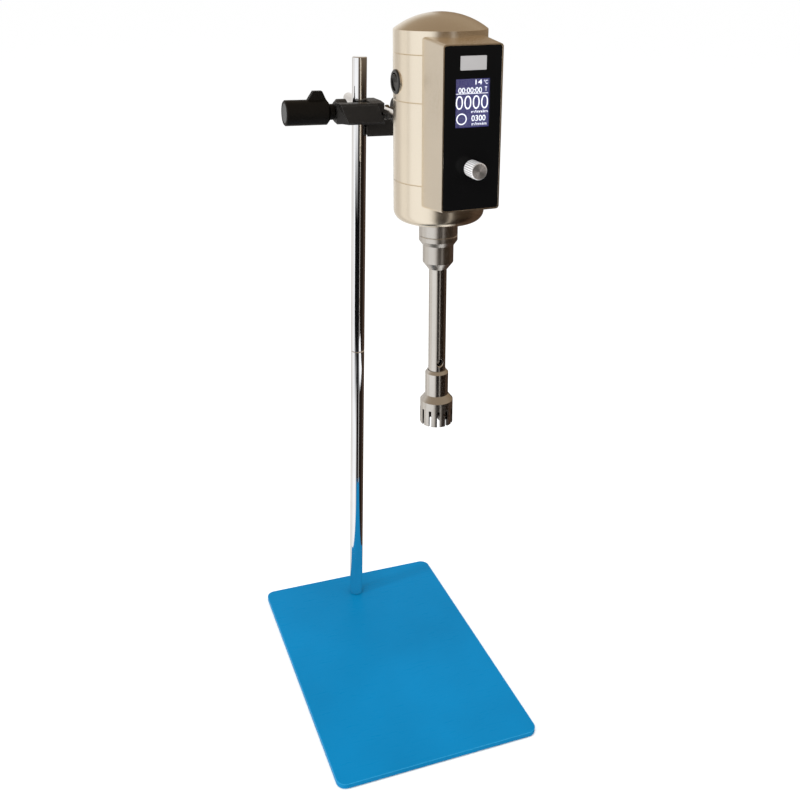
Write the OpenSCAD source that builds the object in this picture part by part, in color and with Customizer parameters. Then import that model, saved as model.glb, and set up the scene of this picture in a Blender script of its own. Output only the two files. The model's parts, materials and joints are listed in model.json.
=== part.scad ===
// Rotor stator homogenizer on a rod stand.
// Origin: centre of the underside of the base, +Z up, the control panel faces -Y.

/* [Base] */
// Width of the base plate, left to right
base_w = 220; // [180:1:300]
// Depth of the base plate, front to back
base_d = 320; // [260:1:400]
// Thickness of the base plate
base_t = 5; // [5:0.5:12]
// Corner radius of the base plate
base_corner_r = 10; // [4:1:30]
// Thickness of the rubber mat under the plate
mat_t = 1.5; // [1:0.25:4]
// How far the mat stays inside the plate's edge
mat_inset = 3; // [1:0.5:10]
// Distance from the plate's back edge to the rod's axis
rod_setback = 34; // [20:1:80]

/* [Stand rod] */
// Diameter of the rod
rod_d = 16; // [12:0.5:20]
// Length of each of the two rod segments
rod_segment_l = 336; // [320:1:400]
// Chamfer on every end of the rod segments
rod_chamfer = 0.8; // [0.4:0.1:2]
// Diameter of the stud that joins the segments
stud_d = 8; // [5:0.5:9]
// Length of that stud
stud_l = 30; // [16:1:50]
// Shank diameter of the countersunk screw under the plate
foot_screw_d = 8; // [5:0.5:9]
// Head diameter of that screw
foot_head_d = 14; // [12:0.5:18]
// Height of its countersunk head
foot_head_h = 3.5; // [2:0.1:4.4]
// How far the screw reaches into the rod
foot_screw_grip = 20; // [10:1:40]

/* [Boss head] */
// Height of the clamped arm's axis above the base plate
clamp_height = 614.5; // [420:0.5:640]
// Distance between the rod's axis and the arm's axis
bar_pitch = 24; // [22:0.5:34]
// Distance from a bar's axis to the outer face of its hooked jaw
jaw_reach = 26.5; // [22:0.5:34]
// Free space between a bar and the hooked jaw
jaw_gap = 2.8; // [1:0.1:5]
// Width of a hooked jaw, measured along its bar
jaw_w = 22; // [18:1:30]
// Edge bevel of the hooked jaw
jaw_bevel = 2; // [1:0.5:6]
// Sideways run of the jaw's slanted ends
jaw_slant = 9; // [4:0.5:12]
// Half width of the web between the grooves
web_half = 12.5; // [10:0.5:16]
// Distance from a bar's axis to the screw leg's inner face
leg_offset = 16; // [15:0.5:22]
// Thickness of the screw leg
leg_t = 12; // [8:0.5:16]
// Diameter of the round boss on the screw leg
leg_boss_d = 27; // [22:0.5:32]
// Included angle of the vee groove that seats a bar
vee_angle = 120; // [100:5:130]
// Depth of the vee groove's mouth before the contact line
vee_lip = 1.4; // [0.5:0.1:2.5]

/* [Clamp screws] */
// Diameter of the clamp screws
clamp_screw_d = 8; // [6:0.5:10]
// Diameter of the screw's reduced nose
screw_nose_d = 5; // [3:0.5:5.5]
// Diameter of the pressure pad on the nose
pad_d = 12; // [9:0.5:16]
// Thickness of the pressure pad
pad_t = 3; // [2:0.5:4]
// Diameter of the knob's barrel
knob_d = 27; // [20:0.5:34]
// Length of the knob's barrel
knob_l = 48; // [30:1:60]
// Diameter of the knob's neck
knob_neck_d = 17; // [12:0.5:20]
// Length of the knob's neck
knob_neck_l = 6; // [3:0.5:12]
// Gap between the neck and the screw leg when the screw is tight
knob_stand_off = 1; // [0.5:0.1:3]
// Height of the knob's finger wing above the barrel
wing_h = 9; // [5:0.5:14]
// Width of the wing where it leaves the barrel
wing_base_w = 24; // [18:0.5:34]
// Width of the wing at its top
wing_top_w = 9.5; // [6:0.5:16]
// Thickness of the wing
wing_t = 7; // [4:0.5:10]

/* [Support arm] */
// Diameter of the support arm
arm_d = 12; // [10:0.5:14]
// Distance from the rod's axis to the head's axis
head_reach = 167; // [150:1:200]
// How far the arm stands out behind the rod's axis
arm_tail = 117; // [110:1:160]
// Diameter of the motor housing's boss that takes the arm
arm_boss_d = 26; // [20:1:34]
// How far that boss stands out of the housing
arm_boss_h = 12; // [8:0.5:20]
// Width across flats of the arm's lock nut
locknut_af = 19; // [17:1:24]
// Thickness of the lock nut
locknut_t = 6; // [4:0.5:10]
// Lean of the clamped head about the arm
head_lean = 1.4; // [-5:0.1:5]

/* [Motor housing] */
// Outer diameter of the housing
body_d = 86; // [84:0.5:100]
// Wall thickness of the housing
wall = 3.5; // [2.5:0.25:5]
// Height of the top cap's straight skirt
cap_skirt_h = 21; // [18:0.5:40]
// Rise of the domed top
dome_h = 14; // [8:0.5:24]
// Height of the ring that carries the power switch
ring_h = 41.5; // [38:0.5:60]
// Height of the motor section
motor_h = 74; // [70:0.5:100]
// Height of the bottom section
bell_h = 40; // [38:0.5:60]
// Edge radius of the bottom section
bell_edge_r = 10; // [4:0.5:14]
// Height of the arm's axis above the bottom section's seam
arm_above_seam = 40.5; // [30:0.5:50]
// Chamfer on each side of a seam
seam_c = 0.5; // [0.2:0.1:1]
// Height of the centring lips inside the seams
lip_h = 3; // [2:0.5:5]
// Thickness of the centring lips
lip_t = 1.5; // [1:0.25:2.5]
// Number of air slots in each rear row
vent_count = 9; // [3:2:13]
// Width of an air slot
vent_w = 2.5; // [1.5:0.1:3.5]
// Height of an air slot
vent_h = 12; // [6:0.5:14]
// Angle between two air slots
vent_pitch = 9; // [7:0.5:12]

/* [Control box] */
// Width of the box at its front
box_w = 55.5; // [50:0.5:66]
// Height of the box at its front
box_h = 143; // [136:0.5:150]
// Distance from the head's axis to the box's front
box_front = 72; // [68:0.5:90]
// Height of the box's centre above the arm's axis
box_centre_z = 15.25; // [10:0.25:20]
// Draft angle of the two sides
side_draft = 3.1; // [0.5:0.1:6]
// Draft angle of the top and the bottom
end_draft = 5.8; // [0.5:0.1:8]
// Corner radius seen from the front
box_corner_r = 3; // [2:0.5:6]
// Wall thickness of the box
box_wall = 2.5; // [1.5:0.25:4]
// Width of the rim that frames the panel
rim = 1.3; // [0.8:0.1:2.5]
// Thickness of the glossy panel
panel_t = 2; // [1.5:0.25:3]
// Thickness of the ledge behind the panel
ledge_t = 1.5; // [1:0.25:3]
// Width of that ledge
ledge_w = 3; // [2:0.5:5]

/* [Display and badge] */
// Width of the display window
window_w = 31.5; // [26:0.5:40]
// Height of the display window
window_h = 41; // [36:0.5:50]
// Height of the window's centre above the arm's axis
window_z = 37.75; // [32:0.25:42]
// Thickness of the window
window_t = 1.2; // [0.8:0.1:1.5]
// Overlap of the display behind the panel on each side
display_lap = 2.5; // [1:0.25:4]
// Depth of the display module
display_t = 5; // [3:0.5:6]
// Width of the blank badge
badge_w = 24; // [12:0.5:34]
// Height of the blank badge
badge_h = 11.8; // [6:0.1:16]
// Height of the badge's centre above the arm's axis
badge_z = 71.3; // [66:0.1:74]
// Thickness of the badge
badge_t = 0.4; // [0.2:0.1:1]

/* [Speed knob] */
// Height of the speed knob's axis relative to the arm's axis
speed_z = -18; // [-30:0.5:-8]
// Diameter of the speed knob
speed_d = 15; // [14:0.5:22]
// Length of the speed knob
speed_l = 16; // [12:0.5:22]
// Gap behind the speed knob
speed_gap = 0.8; // [0.7:0.1:1.5]
// Number of flutes around the speed knob
speed_flutes = 24; // [12:2:30]
// Diameter of the encoder's shaft
encoder_shaft_d = 6; // [4:0.5:6]
// Diameter of the encoder's threaded bush
encoder_bush_d = 7.5; // [7:0.1:9]
// Length of the bush in front of the panel
encoder_bush_l = 4; // [3:0.25:4.5]
// Width across flats of the encoder's nut
encoder_nut_af = 10; // [9:0.5:10.5]
// Edge length of the encoder's square body
encoder_w = 13; // [12:0.5:16]
// Depth of the encoder's body
encoder_t = 6.5; // [6:0.25:6.75]
// Diameter of the turning hub inside the encoder
encoder_hub_d = 9; // [8:0.25:10]

/* [Power switch] */
// Height of the power switch above the arm's axis
switch_z = 50; // [46:0.5:56]
// Angle of the switch towards the front
switch_azimuth = 0; // [-10:1:20]
// Diameter of the switch's flange
bezel_d = 22; // [21.5:0.5:26]
// Thickness of the switch's flange
bezel_t = 1.5; // [1.25:0.25:3]
// Diameter of the switch's body
switch_body_d = 19.5; // [19:0.25:20.5]
// Depth of the switch's body
switch_body_l = 16; // [12:0.5:18]
// Radius of the round rocker about its pivot
rocker_r = 7.7; // [7:0.1:8]
// Depth of the rocker's pivot below the flange's face
rocker_depth = 3.5; // [3:0.25:4.5]
// Tilt of the rocker when the switch is off
rocker_tilt = 9; // [5:1:12]
// Diameter of the rocker's pivot pins
rocker_pin_d = 3; // [2:0.25:4]

/* [Cable gland] */
// Height of the gland above the arm's axis
gland_z = 54; // [48:0.5:56]
// Thread diameter of the gland
gland_thread_d = 16; // [12:0.5:18]
// Width across flats of the gland's body
gland_af = 19; // [19:0.5:22]
// Thickness of the gland's hexagon
gland_hex_t = 5; // [4:0.5:8]
// Length of the gland's cap
gland_cap_l = 12; // [8:0.5:16]
// Diameter of the cable hole
gland_hole_d = 7; // [5:0.5:8]

/* [Motor] */
// Diameter of the motor shaft
shaft_d = 10; // [8:0.5:10]
// Outer diameter of the lower bearing
lower_bearing_d = 26; // [24:1:28]
// Width of the lower bearing
lower_bearing_w = 8; // [6:0.5:8]
// Outer diameter of the upper bearing
upper_bearing_d = 26; // [22:1:28]
// Width of the upper bearing
upper_bearing_w = 8; // [6:0.5:9]
// Length of the laminated field core
core_l = 40; // [30:1:42]
// Height of the field core's centre relative to the arm's axis
core_z = -16; // [-17:0.5:-14]
// Radius of the field core's round window
core_window_r = 33; // [31:0.5:34]
// Radius of the field core's bore
core_bore_r = 22; // [20:0.5:23]
// Thickness of the pole shoes
pole_shoe_t = 4; // [3:0.25:5]
// Width of the pole necks
pole_neck_w = 20; // [16:0.5:22]
// Air gap between the armature and the poles
air_gap = 0.5; // [0.3:0.05:0.8]
// Height of the field coils beyond the core
coil_overhang = 7; // [4:0.5:8]
// Number of armature slots
armature_slots = 12; // [8:2:16]
// Height of the armature's end windings
end_winding_h = 7; // [5:0.5:8]
// Radius of the commutator
commutator_r = 12; // [10:0.5:14]
// Length of the commutator
commutator_l = 14; // [10:0.5:15]
// Thickness of the bearing bridge
bridge_t = 4; // [3:0.5:5]
// Radius of the cooling fan
fan_r = 34; // [28:0.5:36]
// Height of the cooling fan
fan_h = 12; // [8:0.5:14]
// Number of fan blades
fan_blades = 9; // [5:1:12]

/* [Stem] */
// Diameter of the bell's threaded nose
nose_d = 34; // [32:0.5:36]
// Length of that nose
nose_l = 13.5; // [8:0.5:16]
// Outer diameter of the union nut
union_d = 37.5; // [36:0.5:44]
// Thickness of the union nut's bottom lip
union_lip_t = 9; // [6:0.5:12]
// Height of the union nut's tapered end
union_taper_h = 4.5; // [1:0.5:5.5]
// Diameter of the stem's sleeve
sleeve_d = 30; // [28:0.5:31]
// Length of the sleeve's cylinder below the union nut
sleeve_l = 17.5; // [12:0.5:26]
// Height of the sleeve's cone
sleeve_cone_h = 7; // [3:0.5:10]
// Outer diameter of the stem tube
tube_d = 17.5; // [16:0.5:20]
// Inner diameter of the stem tube
tube_bore_d = 14; // [12:0.5:15]
// Visible length of the stem tube
tube_l = 107.5; // [60:0.5:160]
// Diameter of the tube's relief hole
relief_d = 7; // [4:0.5:8]
// Height of the relief hole above the stator head
relief_up = 9.2; // [7:0.1:20]
// Diameter of the drive shaft
drive_d = 8; // [6:0.5:9]
// Length of each plain bush
bush_l = 12; // [8:0.5:14]

/* [Stator and rotor] */
// Diameter of the stator head's neck
neck_d = 23.5; // [22:0.5:26]
// Length of the neck with its chamfer
neck_l = 26.5; // [24:0.5:36]
// Diameter of the slotted stator
stator_d = 33.5; // [32:0.5:40]
// Height of the flare between neck and stator
flare_h = 6.3; // [3:0.1:9]
// Height of the stator's cylinder
stator_h = 25.4; // [24:0.1:34]
// Wall thickness of the stator
stator_wall = 2.7; // [2:0.1:3.5]
// Number of stator slots
stator_slots = 12; // [8:2:16]
// Width of a stator slot
slot_w = 2.7; // [1.5:0.1:3.5]
// Height of a stator slot
slot_h = 17.4; // [12:0.1:19]
// Radial gap between rotor and stator
shear_gap = 0.3; // [0.2:0.05:0.6]
// Height of the rotor's blades
rotor_h = 13; // [8:0.5:15]
// How far the rotor sits above the stator's mouth
rotor_recess = 6; // [5:0.5:9]
// Number of rotor blades
rotor_blades = 4; // [3:1:6]
// Thickness of a rotor blade
blade_t = 4; // [2:0.5:5]

/* [Hidden] */
$fn = 64;
hull_fn = 32;
// Radial clearance of shafts and screws in their bores
run_fit = 0.05;
// Radial clearance of pieces that are only put together
seat_fit = 0.1;
// Distance between curved faces of different bodies that only press on each other
touch_fit = 0.3;
// Overshoot of cutting tools
eps = 1;

base_top = mat_t + base_t;
rod_y = base_d / 2 - rod_setback;
arm_z = base_top + clamp_height;
head_x = bar_pitch;
head_y = rod_y - head_reach;

body_r = body_d / 2;
inner_r = body_r - wall;
lip_r = inner_r - seat_fit;
bridge_r = lip_r - lip_t - seat_fit;
// Depth of the flat pads that carry the power switch and the gland
pad_depth = 2 * wall;

bell_top_z = -arm_above_seam;
bell_z = bell_top_z - bell_h;
motor_top_z = bell_top_z + motor_h;
ring_top_z = motor_top_z + ring_h;
dome_z = ring_top_z + cap_skirt_h;

box_y = -box_front;
panel_back_y = box_y + panel_t;
ledge_back_y = panel_back_y + ledge_t;
post_l = 7;
board_y = ledge_back_y + post_l;
board_t = 1.6;

nose_z = bell_z - nose_l;
flange_t = 2.5;
union_lip_z = nose_z - flange_t - seat_fit;
union_z = union_lip_z - union_lip_t;
sleeve_z = union_z - sleeve_l;
sleeve_end_z = sleeve_z - sleeve_cone_h;
stator_top_z = sleeve_end_z - tube_l;
flare_top_z = stator_top_z - neck_l;
cup_top_z = flare_top_z - flare_h;
mouth_z = cup_top_z - stator_h;
cup_r = stator_d / 2 - stator_wall;
rotor_z = mouth_z + rotor_recess;
rotor_top_z = rotor_z + rotor_h;
tube_seat = 12;
tube_top_z = sleeve_end_z + tube_seat;
tube_end_z = stator_top_z - tube_seat;
coupling_d = 20;
coupling_l = 26;
coupling_z = tube_top_z + 3;

// ---------- places ----------

module at_rod() {
    translate([0, rod_y, base_top]) children();
}

// Boss head: origin on the rod's axis at the height of the arm's axis
module at_clamp() {
    translate([0, rod_y, arm_z]) children();
}

// The arm's jaw is the rod's jaw turned half way round about the line y = z
module at_arm_jaw() {
    translate([bar_pitch, 0, 0]) rotate(a = 180, v = [0, 1, 1]) children();
}

// Arm: origin where the drive axis crosses the arm's axis
module at_arm() {
    translate([head_x, head_y, arm_z]) children();
}

// Head: the arm's place, leaned about the arm's axis, with +Z up the drive axis
module at_head() {
    at_arm() rotate([0, -head_lean, 0]) children();
}

// Front of the control box at height z: local +Z points out of the panel
module on_front(z) {
    translate([0, box_y, z]) rotate([90, 0, 0]) children();
}

// Power switch: local +Z points out of the housing, local X points up
module at_switch() {
    rotate([0, 0, switch_azimuth]) translate([-body_r, 0, switch_z]) rotate([0, -90, 0]) children();
}

// Cable gland: local +Z points out of the back
module at_gland() {
    translate([0, body_r, gland_z]) rotate([-90, 0, 0]) children();
}

// ---------- shapes that repeat ----------

module rounded_rect(w, h, r) {
    square([w - 2 * r, h], center = true);
    square([w, h - 2 * r], center = true);
    for (x = [-1, 1], y = [-1, 1])
        translate([x * (w / 2 - r), y * (h / 2 - r)]) circle(r);
}

module turned(points) {
    rotate_extrude() polygon(points);
}

// Cylinder from z0 to z1 with both ends chamfered
module pin(d, z0, z1, c) {
    turned([[0, z0], [d / 2 - c, z0], [d / 2, z0 + c], [d / 2, z1 - c], [d / 2 - c, z1], [0, z1]]);
}

module pipe(d, bore, z0, z1) {
    difference() {
        translate([0, 0, z0]) cylinder(d = d, h = z1 - z0);
        translate([0, 0, z0 - eps]) cylinder(d = bore, h = z1 - z0 + 2 * eps);
    }
}

module hex_nut(af, bore, z0, z1) {
    difference() {
        translate([0, 0, z0]) cylinder(d = af / cos(30), h = z1 - z0, $fn = 6);
        translate([0, 0, z0 - eps]) cylinder(d = bore, h = z1 - z0 + 2 * eps);
    }
}

module around(n, phase = 0) {
    for (i = [0 : n - 1]) rotate([0, 0, phase + i * 360 / n]) children();
}

// Row of upright slots through the back wall
module vent_row(z0) {
    for (i = [0 : vent_count - 1])
        rotate([0, 0, (i - (vent_count - 1) / 2) * vent_pitch])
            translate([-vent_w / 2, inner_r - eps - lip_t, z0])
                cube([vent_w, wall + lip_t + 2 * eps, vent_h]);
}

// Housing section from z0 to z1 with a centring lip inside its upper seam
module housing_section(z0, z1) {
    turned([
        [body_r - seam_c, z0], [body_r, z0 + seam_c],
        [body_r, z1 - seam_c], [body_r - seam_c, z1],
        [lip_r, z1], [lip_r, z1 + lip_h],
        [lip_r - lip_t, z1 + lip_h], [lip_r - lip_t, z1 - lip_h],
        [inner_r, z1 - 2 * lip_h], [inner_r, z0]
    ]);
}

// ---------- base and rod ----------

module rubber_mat() {
    color([0.08, 0.08, 0.09]) linear_extrude(mat_t) difference() {
        rounded_rect(base_w - 2 * mat_inset, base_d - 2 * mat_inset, base_corner_r);
        translate([0, rod_y]) circle(d = foot_head_d + 2);
    }
}

module base_plate() {
    color([0.09, 0.52, 0.76]) difference() {
        translate([0, 0, mat_t]) linear_extrude(base_t) rounded_rect(base_w, base_d, base_corner_r);
        translate([0, rod_y, 0]) {
            cylinder(d = foot_screw_d + 2 * run_fit, h = base_top + eps);
            translate([0, 0, mat_t]) foot_head(seat_fit);
            cylinder(d = foot_head_d + 2 * seat_fit, h = mat_t);
        }
    }
}

// Countersunk head, widest at z = 0
module foot_head(grow) {
    cylinder(d1 = foot_head_d + 2 * grow, d2 = foot_screw_d + 2 * grow, h = foot_head_h + grow);
}

module foot_screw() {
    color([0.7, 0.7, 0.72]) translate([0, rod_y, mat_t]) difference() {
        union() {
            foot_head(0);
            cylinder(d = foot_screw_d, h = base_t + foot_screw_grip);
        }
        translate([0, 0, -eps]) cylinder(d = foot_screw_d * 0.6, h = eps + foot_head_h * 0.6, $fn = 6);
    }
}

module lower_rod() {
    color([0.86, 0.87, 0.9]) at_rod() difference() {
        pin(rod_d, 0, rod_segment_l, rod_chamfer);
        translate([0, 0, -eps]) cylinder(d = foot_screw_d + 2 * run_fit, h = foot_screw_grip + 2 * eps);
        translate([0, 0, rod_segment_l - stud_l / 2 - eps])
            cylinder(d = stud_d + 2 * run_fit, h = stud_l / 2 + 2 * eps);
    }
}

module rod_stud() {
    color([0.7, 0.7, 0.72]) at_rod()
        pin(stud_d, rod_segment_l - stud_l / 2, rod_segment_l + stud_l / 2, rod_chamfer);
}

module upper_rod() {
    color([0.86, 0.87, 0.9]) at_rod() difference() {
        pin(rod_d, rod_segment_l, 2 * rod_segment_l, rod_chamfer);
        translate([0, 0, rod_segment_l - eps]) cylinder(d = stud_d + 2 * run_fit, h = stud_l / 2 + 2 * eps);
    }
}

// ---------- boss head ----------

// One jaw in its own frame: the bar runs along Z, the hook opens to +Y, the screw comes from -X.
// The slanted end beside the web leaves room for the other bar.
module jaw_solid(bar_d, other_d) {
    inner = bar_d / 2 + jaw_gap;
    web_x = bar_pitch - (other_d / 2 + touch_fit + 1) / cos(atan(jaw_slant / jaw_w));
    left_x = -leg_offset - leg_t + jaw_slant;
    intersection() {
        rotate([90, 0, 0]) translate([0, 0, inner]) linear_extrude(jaw_reach - inner) polygon([
            [left_x, -jaw_w / 2], [web_x + jaw_slant / 2, -jaw_w / 2],
            [web_x - jaw_slant / 2, jaw_w / 2], [left_x - jaw_slant - jaw_bevel / 2, jaw_w / 2]
        ]);
        rotate([90, 0, 90]) translate([0, 0, -leg_offset - 2 * leg_t])
            linear_extrude(2 * (leg_offset + leg_t) + bar_pitch) polygon([
                [0, jaw_w / 2], [jaw_bevel - jaw_reach, jaw_w / 2], [-jaw_reach, jaw_w / 2 - jaw_bevel],
                [-jaw_reach, jaw_bevel - jaw_w / 2], [jaw_bevel - jaw_reach, -jaw_w / 2], [0, -jaw_w / 2]
            ]);
    }
    // leg that carries the screw, with its bevelled outer corner
    translate([0, 0, -jaw_w / 2]) linear_extrude(jaw_w) polygon([
        [-leg_offset, 0], [-leg_offset, -inner - eps], [left_x, jaw_bevel - jaw_reach],
        [-leg_offset - leg_t, -inner], [-leg_offset - leg_t, 0]
    ]);
    rotate([0, -90, 0]) turned([
        [0, leg_offset], [leg_boss_d / 2, leg_offset], [leg_boss_d / 2, leg_offset + leg_t - 3],
        [leg_boss_d / 2 - 3, leg_offset + leg_t], [0, leg_offset + leg_t]
    ]);
}

// Cuts of one jaw: the vee groove along the bar and the screw's bore
module jaw_cuts(bar_d) {
    half = vee_angle / 2;
    apex = (bar_d / 2 + touch_fit) / sin(half);
    run = apex;
    linear_extrude(4 * jaw_reach, center = true)
        polygon([[apex, 0], [apex - run, run * tan(half)], [apex - run, -run * tan(half)]]);
    translate([-leg_offset - leg_t - eps, 0, 0]) rotate([0, 90, 0])
        cylinder(d = clamp_screw_d + 2 * run_fit, h = leg_t + 2 * eps);
}

// Face of the web on a bar's side, just past the contact lines of its vee
function web_face(bar_d) = (bar_d / 2) * sin(vee_angle / 2) - vee_lip;

module web() {
    x0 = web_face(rod_d);
    x1 = bar_pitch - web_face(arm_d);
    b = jaw_bevel / 2;
    translate([x0, 0, 0]) rotate([90, 0, 90]) linear_extrude(x1 - x0) polygon([
        [jaw_bevel - jaw_reach, jaw_w / 2], [jaw_bevel - jaw_reach, -jaw_w / 2],
        [-web_half, -jaw_w / 2], [-jaw_w / 2, -web_half],
        [-jaw_w / 2, jaw_bevel - jaw_reach], [jaw_w / 2, jaw_bevel - jaw_reach],
        [web_half, -web_half], [web_half, web_half - b], [web_half - b, web_half], [-web_half, web_half]
    ]);
}

module boss_head() {
    color([0.13, 0.13, 0.14]) at_clamp() difference() {
        union() {
            jaw_solid(rod_d, arm_d);
            at_arm_jaw() jaw_solid(arm_d, rod_d);
            web();
        }
        jaw_cuts(rod_d);
        at_arm_jaw() jaw_cuts(arm_d);
    }
}

// ---------- clamp screws, drawn with the screw along +X and its pad against a bar at x = 0 ----------

pad_hole_depth = 1.5;

module clamp_pad(bar_d) {
    face = bar_d / 2 + touch_fit;
    rotate([0, -90, 0]) difference() {
        turned([
            [0, face], [pad_d / 2 - 0.5, face], [pad_d / 2, face + 0.5],
            [pad_d / 2, face + pad_t], [0, face + pad_t]
        ]);
        translate([0, 0, face + pad_t - pad_hole_depth])
            cylinder(d = screw_nose_d + 2 * run_fit, h = pad_hole_depth + eps);
    }
}

// Length from the bar's axis to the back of the knob's neck
knob_start = leg_offset + leg_t + knob_stand_off;
screw_grip = 20;

module clamp_screw(bar_d) {
    back = bar_d / 2 + touch_fit + pad_t;
    color([0.7, 0.7, 0.72]) rotate([0, -90, 0]) turned([
        [0, back - pad_hole_depth], [screw_nose_d / 2, back - pad_hole_depth], [screw_nose_d / 2, back],
        [screw_nose_d / 2, back + 0.5], [clamp_screw_d / 2, back + 1.5],
        [clamp_screw_d / 2, knob_start + screw_grip], [0, knob_start + screw_grip]
    ]);
}

module clamp_knob() {
    r = knob_d / 2;
    neck_r = knob_neck_d / 2;
    x0 = knob_start;
    x1 = x0 + knob_neck_l;
    x2 = x1 + knob_l;
    wing_x = x1 + wing_base_w / 2;
    color([0.08, 0.08, 0.08]) difference() {
        union() {
            rotate([0, -90, 0]) turned([
                [0, x0], [neck_r - 0.5, x0], [neck_r, x0 + 0.5], [neck_r, x1], [r - 3, x1], [r, x1 + 2.5],
                [r, x2 - 1], [r - 1, x2], [r - 2.5, x2], [r - 3, x2 - 0.6], [0, x2 - 0.6]
            ]);
            translate([-wing_x, wing_t / 2, 0]) rotate([90, 0, 0]) linear_extrude(wing_t) polygon([
                [-wing_base_w / 2, r - 2], [-wing_top_w / 2, r + wing_h],
                [wing_top_w / 2, r + wing_h], [wing_base_w / 2 - 0.5, r - 5], [0, 0]
            ]);
        }
        rotate([0, -90, 0]) translate([0, 0, x0 - eps])
            cylinder(d = clamp_screw_d + 2 * run_fit, h = screw_grip + eps + run_fit);
    }
}

module rod_clamp_pad() { color([0.75, 0.6, 0.3]) at_clamp() clamp_pad(rod_d); }
module rod_clamp_screw() { at_clamp() clamp_screw(rod_d); }
module rod_clamp_knob() { at_clamp() clamp_knob(); }
module arm_clamp_pad() { color([0.75, 0.6, 0.3]) at_clamp() at_arm_jaw() clamp_pad(arm_d); }
module arm_clamp_screw() { at_clamp() at_arm_jaw() clamp_screw(arm_d); }
module arm_clamp_knob() { at_clamp() at_arm_jaw() clamp_knob(); }

// ---------- support arm ----------

arm_bore_y = inner_r + 1;
boss_face_y = body_r + arm_boss_h;

module along_arm() {
    rotate([-90, 0, 0]) children();
}

module support_arm() {
    color([0.72, 0.73, 0.75]) at_arm() along_arm() pin(arm_d, arm_bore_y + 0.5, head_reach + arm_tail, 1);
}

module arm_locknut() {
    color([0.7, 0.7, 0.72]) at_head() along_arm()
        hex_nut(locknut_af, arm_d + 2 * run_fit, boss_face_y, boss_face_y + locknut_t);
}

// ---------- housing ----------

module top_cap() {
    edge = 0.8;
    dome_edge_r = body_r - edge;
    dome_r = (dome_edge_r * dome_edge_r + dome_h * dome_h) / (2 * dome_h);
    color([0.78, 0.7, 0.58]) at_head() difference() {
        union() {
            turned([
                [0, dome_z - 2 * wall], [0, dome_z], [body_r - edge, dome_z], [body_r, dome_z - edge],
                [body_r, ring_top_z + seam_c], [body_r - seam_c, ring_top_z],
                [inner_r, ring_top_z], [inner_r, dome_z - 2 * wall]
            ]);
            intersection() {
                translate([0, 0, dome_z + dome_h - dome_r]) sphere(dome_r);
                translate([0, 0, dome_z - eps]) cylinder(r = dome_edge_r, h = dome_h + 2 * eps);
            }
        }
        intersection() {
            translate([0, 0, dome_z + dome_h - dome_r]) sphere(dome_r - wall);
            translate([0, 0, dome_z - 3 * wall]) cylinder(r = inner_r - wall, h = dome_h + 3 * wall);
        }
        vent_row(ring_top_z + (cap_skirt_h - vent_h) / 2);
    }
}

module switch_ring() {
    gland_r = gland_thread_d / 2 + run_fit;
    color([0.78, 0.7, 0.58]) at_head() difference() {
        union() {
            housing_section(motor_top_z, ring_top_z);
            intersection() {
                union() {
                    at_switch() translate([0, 0, -pad_depth]) cylinder(d = bezel_d + 1.5, h = pad_depth);
                    at_gland() translate([0, 0, -pad_depth])
                        cylinder(d = gland_af / cos(30) + 1, h = pad_depth);
                }
                pipe(2.2 * body_r, 2 * inner_r - 1, motor_top_z + lip_h + 1, ring_top_z - 1);
            }
        }
        at_switch() translate([0, 0, -4 * wall]) cylinder(d = switch_body_d + 2 * seat_fit, h = 5 * wall);
        at_gland() translate([0, 0, -4 * wall]) cylinder(r = gland_r, h = 5 * wall);
    }
}

// Inside the motor section: seat ring of the bearing bridge
bridge_z = motor_top_z - 1;

module motor_housing() {
    seat_r = bridge_r - 3;
    color([0.78, 0.7, 0.58]) at_head() difference() {
        union() {
            housing_section(bell_top_z, motor_top_z);
            turned([
                [seat_r, bridge_z], [inner_r + 1, bridge_z],
                [inner_r + 1, bridge_z - 8], [inner_r, bridge_z - 8], [seat_r, bridge_z - 3]
            ]);
            rotate([-90, 0, 0]) translate([0, 0, inner_r]) intersection() {
                cylinder(d = arm_boss_d, h = wall + arm_boss_h);
                rotate([90, 0, 0]) translate([0, -inner_r, -arm_boss_d])
                    difference() {
                        cylinder(r = 2 * body_r, h = 2 * arm_boss_d);
                        cylinder(r = inner_r + wall / 2, h = 2 * arm_boss_d);
                    }
            }
        }
        along_arm() translate([0, 0, arm_bore_y])
            cylinder(d = arm_d + 2 * run_fit, h = boss_face_y - arm_bore_y + eps);
    }
}

// Bottom section with the lower bearing's seat and the threaded nose
bearing_floor_z = bell_z + 4;
bell_bore_d = 24;

module bell_outline(r, edge_r, z0, z1) {
    translate([0, z0 + edge_r]) square([r, z1 - z0 - edge_r]);
    translate([0, z0]) square([r - edge_r, edge_r + eps]);
    translate([r - edge_r, z0 + edge_r]) circle(edge_r);
}

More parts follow.
